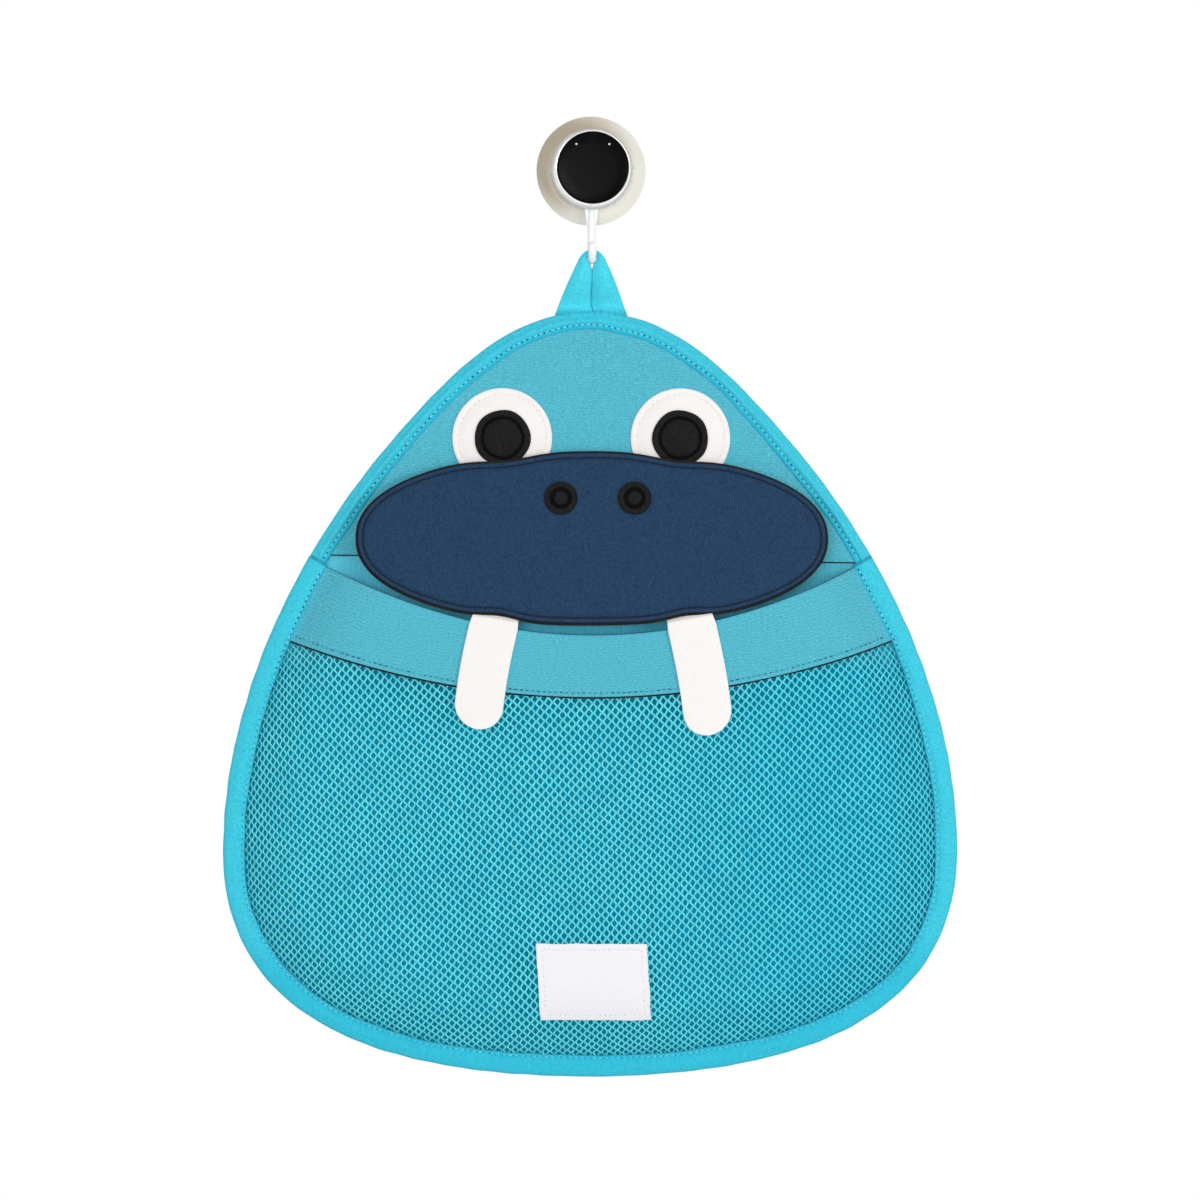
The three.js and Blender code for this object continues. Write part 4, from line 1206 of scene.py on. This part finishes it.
class ORGANIZER_OT_pocket_net(Operator):
    """Knit the net over the pocket, one rounded diamond at a time"""
    bl_idname = "organizer.pocket_net"
    bl_label = "Pocket Net"

    hidden_edge = 0.0042  # the outermost openings, in from the bag's edge

    def hang(self, bag, net, flat):
        """Lays points of the flat net over the pocket.
        Returns their places, how far out they are, and how far inside the edge and below the band."""
        turn = np.array([[math.cos(net.turn), math.sin(net.turn)], [-math.sin(net.lean), math.cos(net.lean)]])
        middle = np.array([0, bag.top - bag.widest_drop])
        place = flat @ turn + middle
        wave = np.stack([ripple(*place.T, 0.16, 21), ripple(*place.T, 0.13, 22)], -1)
        place = place + 0.0012 * wave
        inset, inward = bag_edge().inset(place)
        share = np.linspace(0, 1, 200)
        slope = 2 * bag.pocket_depth / bag.pocket_ramp * (1 - share)
        step = np.sqrt(1 + slope**2) * bag.pocket_ramp / (len(share) - 1)
        left = np.cumsum(step[::-1])[::-1] - step[-1]
        plateau = seam_inset(bag) + bag.pocket_ramp
        cloth_left = plateau - inset
        on_ramp = seam_inset(bag) + bag.pocket_ramp * np.interp(cloth_left, left[::-1], share[::-1])
        under = seam_inset(bag) - (cloth_left - left[0])
        seen = np.where(cloth_left <= 0, inset, np.where(cloth_left < left[0], on_ramp, under))
        place = place + inward * (seen - inset)[:, None]
        out = layer("face_panel")[0] + bulge(bag, seen) + net_wave(bag, *place.T, seen) + net.thickness / 2
        below = self.band_edge(bag, place[:, 0]) - place[:, 1]
        past = seen - seam_inset(bag)
        lip = 0.0018 * smooth(past / 0.0016) * (1 - smooth((past - 0.003) / 0.012))
        out += lip * smooth(below / 0.01)
        out -= (net.thickness + 0.0005) * (1 - smooth((below + 0.001) / 0.006))
        return place, out, seen, below

    def knots(self, finish):
        """Painted shade where the strands cross: one where four strands meet, none between two such places.
        """
        across, up = (finish.waves(axis, 2, TURN / 4, True) for axis in ("X", "Y"))
        return ((across * up + 0.2) * -1.25).clamped(0, 1)

    def band_edge(self, bag, x):
        """Height of the band's lower edge at places across."""
        side = np.linspace(-1, 1, 201)
        line_x, line_z = band_place(bag, side, np.ones_like(side))
        return np.interp(x, line_x, line_z)

    def execute(self, context):
        bag = context.scene.organizer_bag
        net = context.scene.organizer_net
        step = np.array([net.pitch_across, net.pitch_up]) / 2
        reach = np.ceil(np.array([bag.half_width, bag.height / 2]) * 1.15 / step).astype(int)
        counts = [np.arange(-most, most + 1) for most in reach]
        grid = np.stack(np.meshgrid(*counts, indexing="ij"), -1).reshape(-1, 2)
        _, _, inset, below = self.hang(bag, net, grid * step)
        kept = (inset > self.hidden_edge) & (below > -net.overlap) & (grid.sum(1) % 2 == 0)
        holes = grid[kept]
        sides = np.array([(1, 0), (0, 1), (-1, 0), (0, -1)])
        crossings, index = np.unique((holes[:, None] + sides).reshape(-1, 2), axis=0, return_inverse=True)
        corners = index.reshape(-1, 4)
        corner = [(1, 0), (0.85, 0.40), (0, 1), (-0.85, 0.40)]
        ring = np.concatenate([corner, np.negative(corner)]) * (net.hole_width / 2, net.hole_height / 2)
        random = np.random.default_rng(9)
        ring = ring * random.uniform(0.94, 1.06, (len(holes), 1, 1))
        ring = ring + random.normal(0, 0.00004, ring.shape)
        rim = (holes[:, None] * step + ring).reshape(-1, 2)
        def solid(flat, lift):
            where, out, _, _ = self.hang(bag, net, flat)
            return np.stack([where[:, 0], -out - lift, where[:, 1]], -1)
        half = net.thickness / 2
        points = np.concatenate([
            solid(crossings * step, half), solid(crossings * step, -half), solid(rim, 0.5 * half)
        ])
        count = len(crossings)
        first_rim = 2 * count + 8 * np.arange(len(holes))
        faces, border = [], {}
        for corner, rim_start in zip(corners.tolist(), first_rim.tolist()):
            for side in range(4):
                here, after = corner[side], corner[(side + 1) % 4]
                inner = [rim_start + (2 * side + k) % 8 for k in (2, 1, 0)]
                faces.append([here, after, *inner])
                faces.append([after + count, here + count, *inner[::-1]])
                key = (min(here, after), max(here, after))
                border[key] = None if key in border else (here, after)
        for here, after in filter(None, border.values()):
            faces.append([after, here, here + count, after + count])
        finish = cloth_finish("net_yarn", net.colour, yarn, 0.00012, 0.16, sheen=0.0, gloss=0.05)
        twist = yarn(finish)
        # painted shade at the crossings
        finish.mix_in(net.net_shade_colour, 0.16, twist, self.knots(finish))
        # painted shade: the net is darker towards its right side
        finish.mix_in(net.net_shade_colour, 0.16, twist, finish.along("X").ramp(0.02, 0.16, 0.6))
        cloth = np.concatenate([crossings, crossings, rim / step])
        piece = made("pocket_net_knit", points, faces, [finish], cloth=cloth)
        settle(piece, "bag", "net_turquoise", "pocket_net")
        return {"FINISHED"}


class ORGANIZER_OT_bindings(Operator):
    """Fold the two lengths of tape round the bag's edge and sew them"""
    bl_idname = "organizer.bindings"
    bl_label = "Bindings"

    groove_point = 4  # the section's point under the stitches

    def section(self, bag, width, seam, crown):
        """The folded tape as (distance in, out, puff) rows, round its outside and back along its inside."""
        back, front = layer("top_binding")
        middle, nose = (back + front) / 2, (front - back) / 2
        tape = bag.tape_thickness
        groove = width - seam
        start = groove - 0.0006
        flange = [(width, -0.0009, 0), (width - 0.0003, -0.0004, 0), (width - 0.0007, -0.0001, 0),
                  (groove + 0.0006, 0, 0), (groove, -0.0004, 0), (start, 0.0001, 0.3)]
        for share in np.linspace(0, 1, 8)[1:]:
            inset = start + (nose - start) * share
            lift = crown * math.sin(math.pi * (0.1 + 0.86 * share))
            flange.append((inset, lift, 1.6 * math.sin(math.pi * share)))
        turns = np.radians(np.linspace(90, 270, 11)[1:-1])
        outside = [(inset, front + lift, puff) for inset, lift, puff in flange]
        outside += [(nose + nose * math.cos(t), middle + nose * math.sin(t), 0) for t in turns]
        outside += [(inset, back - lift * 0.2, -puff * 0.2) for inset, lift, puff in flange[::-1]]
        small = nose - tape
        inside = [(width - 0.0001, back + tape, 0)]
        inside += [(nose + small * math.cos(t), middle + small * math.sin(t), 0) for t in turns[::-1]]
        inside += [(width - 0.0003, front - 0.0010, 0)]
        return np.array(outside + inside)

    def wander(self, travel, seed):
        """How far the tape's inner edge and its stitches stray in and out."""
        return 0.0004 * ripple(travel, 0 * travel, 0.05, seed + 1)

    def low(self, finish, start, most):
        """How far the tape is below a height."""
        return finish.along("Z").ramp(start, -0.05, most)

    def join_shade(self, finish, join, perimeter):
        """Painted shade in the crease where the tape's two lengths meet, by how near the tape is to those
        places.
        """
        travel = finish.along("X", True)
        first = (travel.math("ABSOLUTE") - join).math("ABSOLUTE")
        last = (perimeter - join - travel).math("ABSOLUTE")
        return first.math("MINIMUM", last).ramp(0.0012, -0.0012, 0.3)

    def tape(self, bag, name, start, end, form, seed, finish):
        near = np.array([0, 0.0003, 0.0006, 0.0009, 0.0013])
        between = np.linspace(start + 0.0019, end - 0.0019, int((end - start) / 0.002))
        travel = np.concatenate([start + near, between, end - near[::-1]])[:, None]
        place, inward = bag_edge().at(travel[:, 0])
        section = self.section(bag, *form)
        inset, out, puff = section.T
        middle = sum(layer("top_binding")) / 2
        inset = inset + self.wander(travel, seed) * (inset > 0.006)
        inset = inset + 0.00015 * ripple(travel, 0 * travel, 0.018, seed + 3)
        out = out + 0.0003 * puff * ripple(travel, 0 * travel, 0.021, seed)
        out = out + 0.00018 * puff * ripple(travel, 0 * travel, 0.0066, seed + 2)
        ends = np.minimum(travel - start, end - travel)
        pinch = 1 - (0.3 + 0.4 * smooth((0.0045 - inset) / 0.002)) * hump(ends, 0, 0.0009)
        out = middle + (out - middle) * pinch
        flat = place[:, None] + inward[:, None] * inset[..., None]
        rings = np.stack([flat[..., 0], -out, flat[..., 1]], -1)
        run = np.cumsum(np.r_[0, np.hypot(*np.diff(section[:, :2], axis=0).T)])
        cloth = np.stack(np.broadcast_arrays(travel, run - run[self.groove_point]), -1)
        return lofted(name, rings, [finish], cloth=cloth)

    def execute(self, context):
        bag = context.scene.organizer_bag
        edge = bag_edge()
        join = edge.travel_to(bag.top - bag.join_drop)
        back, front = layer("top_binding")
        finish = cloth_finish("binding_tape", bag.binding_colour, tape_weave, 0.0005, 0.2)
        on_net = bag.top - bag.band_side_drop - bag.band_side_height
        inner = finish.along("Y", True).ramp(-0.0004, -0.0005, 0.7) * (1 - self.low(finish, on_net, 1))
        near_foot = -0.42
        foot = self.low(finish, near_foot, 0.4)
        weave = tape_weave(finish)
        finish.mix_in(bag.flange_colour, 0.15, weave, inner.math("MAXIMUM", foot))
        # painted shade in the crease where the two lengths of tape meet
        finish.mix_in(bag.painted_shade_colour, 0.15, weave, self.join_shade(finish, join, edge.perimeter))
        holes = cloth_finish("binding_holes", bag.painted_shade_colour, yarn, 0.00005, 0.2)
        holes.mix_in(bag.flange_colour, 0.15, yarn(holes), self.low(holes, on_net, 0.9))
        thread = cloth_finish("binding_thread", bag.thread_colour, yarn, 0.00005, 0.15)
        thread.mix_in(bag.binding_colour, 0.15, yarn(thread), self.low(thread, on_net, 0.4))
        threads = [thread, holes]
        lengths = {"top_binding": (-join, join, (bag.top_width, 0.0024, 0.0021)),
                   "bottom_binding": (join, edge.perimeter - join, (bag.binding_width, 0.0016, 0.0009))}
        for seed, (node, (start, end, form)) in zip((40, 50), lengths.items()):
            tape = self.tape(bag, node + "_tape", start, end, form, seed, finish)
            settle(tape, "bag", "binding_turquoise", node)
            travel = np.linspace(start + 0.003, end - 0.003, 700)
            place, inward = edge.at(travel)
            width, seam, _ = form
            line = place + inward * (width - seam + self.wander(travel, seed))[:, None]
            for face, out, way in (("front", front - 0.00015, -1), ("back", back + 0.0001, 1)):
                path = np.stack([line[:, 0], np.full(len(line), -out), line[:, 1]], -1)
                row = stitches(f"{node}_stitches_{face}", path, (0, way, 0), bag.stitch_pitch, threads)
                settle(row, "bag", "binding_turquoise")
            length = end - start
            area_of(tape) / length
        return {"FINISHED"}


@functools.cache
def applique_finishes():
    face = bpy.context.scene.organizer_face
    return {
        "white": cloth_finish("white_felt", face.white_colour, felt_fibres, 0.00012, 0.03, 0.85, 0.1),
        "black": cloth_finish("black_felt", face.black_colour, felt_fibres, 0.00015, 0.35, 0.8, 0.02, 0.06),
        "navy": cloth_finish("navy_cloth", face.navy_colour, plain_weave, 0.00025, 0.42, 0.85, 0.04),
        "rim": cloth_finish("black_rim", face.rim_colour, felt_fibres, 0.0001, 0.35, 0.85, 0.1),
        "shade": cloth_finish("groove_shade", linear(20, 20, 21), felt_fibres, 0.0001, 0.3, 0.9, 0.0, 0.0),
        "pale_thread": cloth_finish("pale_thread", linear(246, 240, 234), yarn, 0.00004, 0.05),
        "pale_holes": cloth_finish("pale_holes", linear(202, 190, 183), yarn, 0.00004, 0.1),
        "dark_thread": cloth_finish("dark_thread", linear(20, 33, 51), yarn, 0.00004, 0.25),
        "dark_holes": cloth_finish("dark_holes", linear(12, 15, 22), yarn, 0.00004, 0.25),
    }


def ring_of_stitches(name, outline, inset, height, place, pitch, finishes, size):
    """A closed row of stitches on a patch."""
    loop = outline(inset)
    loop = np.concatenate([loop, loop[:1]])
    path = place(loop[:, 0], loop[:, 1], np.full(len(loop), height))
    above = place(loop[:, 0], loop[:, 1], np.full(len(loop), height + 0.001))
    return stitches(name, path, above - path, pitch, finishes, *size)


class ORGANIZER_OT_eyes(Operator):
    """Sew the white eyes and the black pupils"""
    bl_idname = "organizer.eyes"
    bl_label = "Eyes"

    def execute(self, context):
        face = context.scene.organizer_face
        kinds = applique_finishes()
        white, black = [kinds["white"]], [kinds["black"], kinds["shade"]]
        parts = (("eye", face.eye_seam, white, "applique_white", 0, 0.0, 0.0001, 0.0003),
                 ("pupil", face.pupil_seam, black, "applique_black", 17, 0.024, 0.0007, 0.0006))
        for side in ("left", "right"):
            for part, seam, finishes, slot, pulls, uneven, swell, groove in parts:
                low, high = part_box(f"{part}_{side}")
                radius = (high.x - low.x) / 2
                thickness = high.y - low.y
                middle = ((low.x + high.x) / 2, high.y, (low.z + high.z) / 2)
                def outline(inset):
                    loop, turn = sewn_disc(radius, inset, seam, pulls)
                    return loop * (1 + uneven * np.sin(3 * turn + middle[0] * 90) * np.cos(2 * turn))[:, None]
                steps = [(0.0012, 0.0001), (seam - 0.0009, 0.0001), (seam - 0.0003, -groove),
                         (seam + 0.0003, -groove), (seam + 0.0009, 0.0001), (radius * 0.45, swell),
                         (radius * 0.75, swell * 1.2), (radius * 0.97, swell * 1.3)]
                profile = patch_profile(radius, thickness, steps)
                grooves = GROOVE_LOOPS if part == "pupil" else ()
                piece = applique(f"{part}_{side}_felt", outline, profile, upright(middle), finishes, grooves)
                settle(piece, "bag", slot, f"{part}_{side}")
                if part == "eye":
                    row = ring_of_stitches(
                        f"eye_{side}_stitches", outline, seam, thickness - 0.0003, upright(middle), 0.0032,
                        [kinds["pale_thread"], kinds["pale_holes"]], (0.0020, 0.00022, 0.0003),
                    )
                    settle(row, "bag", slot)
        return {"FINISHED"}


class ORGANIZER_OT_muzzle(Operator):
    """Sew the navy muzzle on its black backing, with both nostrils"""
    bl_idname = "organizer.muzzle"
    bl_label = "Muzzle"

    def execute(self, context):
        face = context.scene.organizer_face
        kinds = applique_finishes()
        hinge = joint_place("muzzle_lift")
        low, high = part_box("muzzle_backing")
        half_width, half_height = high.x, face.muzzle_height / 2
        lean = math.acos((hinge[2] - low.z) / face.muzzle_height)
        def hang(x, y, height):
            """Places on the leaning muzzle; y runs up from its middle and height out from its back."""
            drop = half_height - y
            wave = 0.0009 * np.sin(x * 55 + 0.6) * smooth((drop - 0.06) / 0.03)
            height = height + wave
            out = -hinge[1] + drop * math.sin(lean) + height * math.cos(lean)
            return np.stack([x, -out, hinge[2] - drop * math.cos(lean) + height * math.sin(lean)], -1)
        def outline(inset):
            loop = round_loop(half_width - inset, half_height - inset, face.muzzle_roundness, 220)
            reach, height = np.abs(loop[:, 0]), loop[:, 1]
            dip = face.muzzle_dip * hump(reach, 0.046, 0.019) * smooth(height / 0.03)
            tuck = face.muzzle_tuck * hump(reach, 0.051, 0.013) * smooth(-height / 0.03)
            loop[:, 1] += tuck - dip
            return loop
        def front_outline(inset):
            return outline(inset + face.muzzle_rim)
        steps = [(0.0006, 0), (half_height * 0.5, 0), (half_height * 0.97, 0)]
        profile = patch_profile(half_height, 0.0020, steps, 0.0005)
        backing = applique("muzzle_backing_cloth", outline, profile, hang, [kinds["rim"]])
        settle(backing, "muzzle", "applique_black", "muzzle_backing")
        lift, thickness = 0.0022, 0.0013
        seam = face.muzzle_seam - face.muzzle_rim
        swell = face.muzzle_swell
        steps = [(0.0008, 0.0001), (seam - 0.0010, 0.0002), (seam - 0.0004, -0.0007),
                 (seam + 0.0004, -0.0007), (seam + 0.0011, 0.0003), (seam + 0.003, 0.0005),
                 (0.012, swell * 0.6), (0.022, swell * 0.9), (0.034, swell), (half_height * 0.94, swell)]
        in_groove = (8,)  # the loop between its two edges
        profile = patch_profile(half_height - 0.003, thickness, steps)
        profile = [(inset, height + lift) for inset, height in profile]
        finishes = [kinds["navy"], kinds["dark_thread"]]
        front = applique("muzzle_front_cloth", front_outline, profile, hang, finishes, in_groove)
        settle(front, "muzzle", "muzzle_navy", "muzzle_front")
        row = ring_of_stitches("muzzle_stitches", front_outline, seam, lift + thickness - 0.0006, hang,
                               0.0031, [kinds["dark_thread"], kinds["dark_holes"]], (0.0027, 0.00026, 0.0003))
        settle(row, "muzzle", "muzzle_navy")
        def level(height):
            """Where a height lies on the leaning muzzle, up from its middle."""
            return half_height - (hinge[2] - height) / math.cos(lean)
        for side in ("left", "right"):
            self.nostril(face, side, hang, level, lift + thickness + swell)
        return {"FINISHED"}

    def nostril(self, face, side, hang, level, field):
        kinds = applique_finishes()
        low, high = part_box(f"nostril_{side}")
        radius = (high.x - low.x) / 2
        across = (low.x + high.x) / 2 + face.nostril_aside
        up = level((low.z + high.z) / 2) - face.nostril_drop
        seam, pulls = 0.0043, 9
        def outline(inset):
            return sewn_disc(radius, inset, seam, pulls)[0]
        def place(x, y, height):
            return hang(across + x, up + y, height + field - 0.0002)
        steps = [(0.0012, 0.0003), (0.0030, 0.0003), (0.0040, -0.0006), (0.0046, -0.0006), (0.0056, 0.0003),
                 (0.0070, 0.0007), (radius * 0.97, 0.0008)]
        piece = applique(f"nostril_{side}_felt", outline, patch_profile(radius, 0.0011, steps), place,
                         [kinds["black"], kinds["shade"]], GROOVE_LOOPS)
        settle(piece, "muzzle", "applique_black", f"nostril_{side}")


# Stations of a tusk's round tip, as shares of its radius
TUSK_TIP = np.sin(np.linspace(0, 1, 17)[1:] * math.pi / 2)


class ORGANIZER_OT_tusks(Operator):
    """Cut the white tusks that hang from the muzzle's lower edge"""
    bl_idname = "organizer.tusks"
    bl_label = "Tusks"

    def execute(self, context):
        face = context.scene.organizer_face
        kinds = applique_finishes()
        for side, sign in (("left", -1), ("right", 1)):
            joint = joint_place(f"tusk_{side}_swing")
            back, front = layer(f"tusk_{side}")
            low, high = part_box(f"tusk_{side}")
            half = 0.01335  # half of its width
            long = (high.z - low.z) / math.cos(face.tusk_splay) - 2 * half * math.tan(face.tusk_splay) * 0.22
            rings = []
            lean = sign * (face.tusk_splay + 0.03)
            section = round_loop(1, 0.5, 3.2, 36)
            below = long if side == "right" else long - 0.0035
            for y in np.concatenate([np.linspace(0.0035, half - below, 60), half - below - half * TUSK_TIP]):
                past = max(0.0, half - below - y) / half
                width = half * math.sqrt(max(1e-4, 1 - past**2)) - 0.0008 * smooth((y + 0.004) / 0.007)
                x = section[:, 0] * width + 0.0012 * sign * math.sin(math.pi * -y / below)
                tucked = 0.0026 * smooth((y - 0.0010) / 0.0022)
                wave = 0.0003 * np.sin(y * 70 + sign)
                out = back + 0.0003 - tucked + (front - back) * (section[:, 1] + 0.5) + wave
                rings.append(np.stack([
                    joint[0] + x * math.cos(lean) - y * math.sin(lean), -out,
                    joint[2] + x * math.sin(lean) + y * math.cos(lean),
                ], -1))
            piece = lofted(f"tusk_{side}_felt", rings, [kinds["white"]])
            down = np.array([math.sin(lean), 0, -math.cos(lean)])
            root, bend = joint - 0.0005 * down, joint + 0.0060 * down
            tuple(root)
            tuple(bend)
            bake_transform(piece)
            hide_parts(f"tusk_{side}")
        return {"FINISHED"}


class ORGANIZER_OT_label(Operator):
    """Sew the bare label on the net"""
    bl_idname = "organizer.label"
    bl_label = "Label"

    def execute(self, context):
        face = context.scene.organizer_face
        net = context.scene.organizer_net
        kinds = applique_finishes()
        low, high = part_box("label")
        half_width, half_height = high.x, (high.z - low.z) / 2
        middle = (low.z + high.z) / 2
        def outline(inset):
            wide, tall = half_width - inset, half_height - inset
            run = np.linspace(-1, 1, 40)[:-1]
            sides = [(run * wide, -tall), (wide, run * tall), (-run * wide, tall), (-wide, -run * tall)]
            loop = np.concatenate([np.stack(np.broadcast_arrays(*side), -1) for side in sides])
            return loop + 0.00025 * np.stack([ripple(*loop.T, 0.011, 61), ripple(*loop.T, 0.013, 62)], -1)
        def place(x, y, height):
            shear, slope, aside, rise = 0.06, 0.006, 0.0005, 0.0012
            across, up = x - shear * y + aside, middle + y - slope * x + rise
            out = front_layer(across, up, 1.0) + net.thickness + 0.0005
            out = out + 0.0002 * ripple(across, up, 0.05, 77) + height
            return np.stack([across, -out, up], -1)
        steps = [(0.0008, 0.0), (face.label_seam - 0.0007, 0.0001), (face.label_seam, -0.0001),
                 (face.label_seam + 0.0008, 0.0001), (half_height * 0.4, 0.0001), (half_height * 0.7, 0.0001),
                 (half_height * 0.95, 0.0001)]
        def satin(finish):
            ribs = finish.waves("Z", 0.0007, finish.noise(120) * 3)
            return ribs * 0.2 + finish.noise(1400, (0.3, 1, 2)) * 0.5 + 0.25
        finish = cloth_finish("label_satin", face.label_colour, satin, 0.00006, 0.04, 0.6, 0.1)
        profile = patch_profile(half_height, 0.0005, steps, 0.0002)
        piece = applique("label_cloth", outline, profile, place, [finish])
        settle(piece, "bag", "label_white", "label")
        row = ring_of_stitches("label_stitches", outline, face.label_seam, 0.0004, place, 0.0027,
                               [kinds["pale_thread"], kinds["pale_holes"]], (0.0016, 0.00018, 0.0004))
        settle(row, "bag", "label_white")
        return {"FINISHED"}


class ORGANIZER_OT_stage(Operator):
    """Set up the floor, the lights and the camera"""
    bl_idname = "organizer.stage"
    bl_label = "Stage"

    def aimed(self, name, data, place, aim):
        """Adds a lamp or the camera at a place, turned to a point."""
        item = bpy.data.objects.new(name, data)
        item.location = place
        item.rotation_euler = (Vector(aim) - Vector(place)).to_track_quat("-Z", "Y").to_euler()
        bpy.context.scene.collection.objects.link(item)
        return item

    def light(self, name, power, size, place, tint):
        lamp = bpy.data.lights.new(name, "AREA")
        lamp.energy, lamp.size, lamp.color = power, size, tint
        self.aimed(name, lamp, place, (0, 0, -0.28))

    def floor(self, stage):
        width, depth, past_wall = 8, 6.3, 0.3
        middle = (0, past_wall - depth / 2, stage.floor_height)
        floor = primitive("plane", middle, (width, depth, 1), size=1)
        floor.name = "floor"
        finish = moulded_finish(
            "floor_paint", linear(240, 240, 240), 0.8, 0.01, constants={"Emission Strength": 0.6}
        )
        seen = finish.node("LightPath", {}, {}, "Is Camera Ray")
        black, white = (0, 0, 0, 1), (1, 1, 1, 1)
        away = finish.node("VectorMath", {"operation": "LENGTH"}, {0: finish.place()}, "Value")
        share = seen * (away * 0.25).clamped(0.7, 1)
        glow = finish.node("Mix", {"data_type": "RGBA"}, {0: share, 6: black, 7: white}, 2)
        finish.feed(finish.shader, {"Emission Color": glow})
        floor.data.materials.append(finish.material)
        floor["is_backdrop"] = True

    def world(self, stage):
        world = bpy.data.worlds.new("studio")
        bpy.context.scene.world = world
        world.use_nodes = True
        tree = world.node_tree
        tree.nodes.clear()
        path = tree.nodes.new("ShaderNodeLightPath")
        seen = path.outputs["Is Camera Ray"]
        for ray in ("Is Glossy Ray", "Is Transmission Ray"):
            either = tree.nodes.new("ShaderNodeMath")
            either.operation = "MAXIMUM"
            tree.links.new(seen, either.inputs[0])
            tree.links.new(path.outputs[ray], either.inputs[1])
            seen = either.outputs[0]
        mix = tree.nodes.new("ShaderNodeMixShader")
        tree.links.new(seen, mix.inputs["Fac"])
        unseen, white = ((0.97, 0.985, 1, 1), stage.world_strength), ((1, 1, 1, 1), 1)
        for socket, (tint, strength) in enumerate((unseen, white), 1):
            backdrop = tree.nodes.new("ShaderNodeBackground")
            backdrop.inputs["Color"].default_value = tint
            backdrop.inputs["Strength"].default_value = strength
            tree.links.new(backdrop.outputs[0], mix.inputs[socket])
        output = tree.nodes.new("ShaderNodeOutputWorld")
        tree.links.new(mix.outputs[0], output.inputs["Surface"])

    def execute(self, context):
        stage = context.scene.organizer_stage
        camera = bpy.data.cameras.new("camera")
        camera.lens = camera.sensor_width * stage.camera_distance / stage.view_width
        middle = (stage.view_across, 0, stage.view_height)
        place = (stage.view_across - stage.camera_aside, -stage.camera_distance, stage.view_height)
        context.scene.camera = self.aimed("camera", camera, place, middle)
        self.light("key", stage.key_power, 1.2, (1.6, -1.8, -0.45), (1, 0.985, 0.96))
        self.light("fill", stage.fill_power, 1.6, (-0.7, -3.3, -0.4), (0.96, 0.98, 1))
        self.floor(stage)
        self.world(stage)
        context.scene.view_settings.view_transform = "Standard"
        return {"FINISHED"}


OPERATORS = (
    ORGANIZER_OT_stage,
    ORGANIZER_OT_suction_cup,
    ORGANIZER_OT_hook,
    ORGANIZER_OT_knob,
    ORGANIZER_OT_fixings,
    ORGANIZER_OT_hanging_loop,
    ORGANIZER_OT_back_panel,
    ORGANIZER_OT_face_panel,
    ORGANIZER_OT_pocket_band,
    ORGANIZER_OT_pocket_net,
    ORGANIZER_OT_bindings,
    ORGANIZER_OT_eyes,
    ORGANIZER_OT_muzzle,
    ORGANIZER_OT_tusks,
    ORGANIZER_OT_label,
)
SETTINGS = {
    "organizer_hook": HookSettings,
    "organizer_bag": BagSettings,
    "organizer_net": NetSettings,
    "organizer_face": FaceSettings,
    "organizer_stage": StageSettings,
}


class ORGANIZER_PT_sidebar(Panel):
    """Lists the organizer's settings and makers"""
    bl_idname = "ORGANIZER_PT_sidebar"
    bl_label = "Bath Toy Organizer"
    bl_space_type = "VIEW_3D"
    bl_region_type = "UI"
    bl_category = "Organizer"

    def draw(self, context):
        for name, group in SETTINGS.items():
            box = self.layout.box()
            box.label(text=group.__doc__)
            for setting in group.__annotations__:
                box.prop(getattr(context.scene, name), setting)
        for operator in OPERATORS:
            self.layout.operator(operator.bl_idname)


def register():
    for group in (*SETTINGS.values(), *OPERATORS, ORGANIZER_PT_sidebar):
        bpy.utils.register_class(group)
    for name, group in SETTINGS.items():
        setattr(bpy.types.Scene, name, PointerProperty(type=group))


def unregister():
    for name in SETTINGS:
        delattr(bpy.types.Scene, name)
    for group in (ORGANIZER_PT_sidebar, *reversed(OPERATORS), *reversed(SETTINGS.values())):
        bpy.utils.unregister_class(group)


def main():
    register()
    for operator in OPERATORS:
        family, name = operator.bl_idname.split(".")
        getattr(getattr(bpy.ops, family), name)()
    boxes = {"cad": CAD_BOX, "visual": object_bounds()}
    {name: [list(corner) for corner in box] for name, box in boxes.items()}


if __name__ == "__main__":
    main()
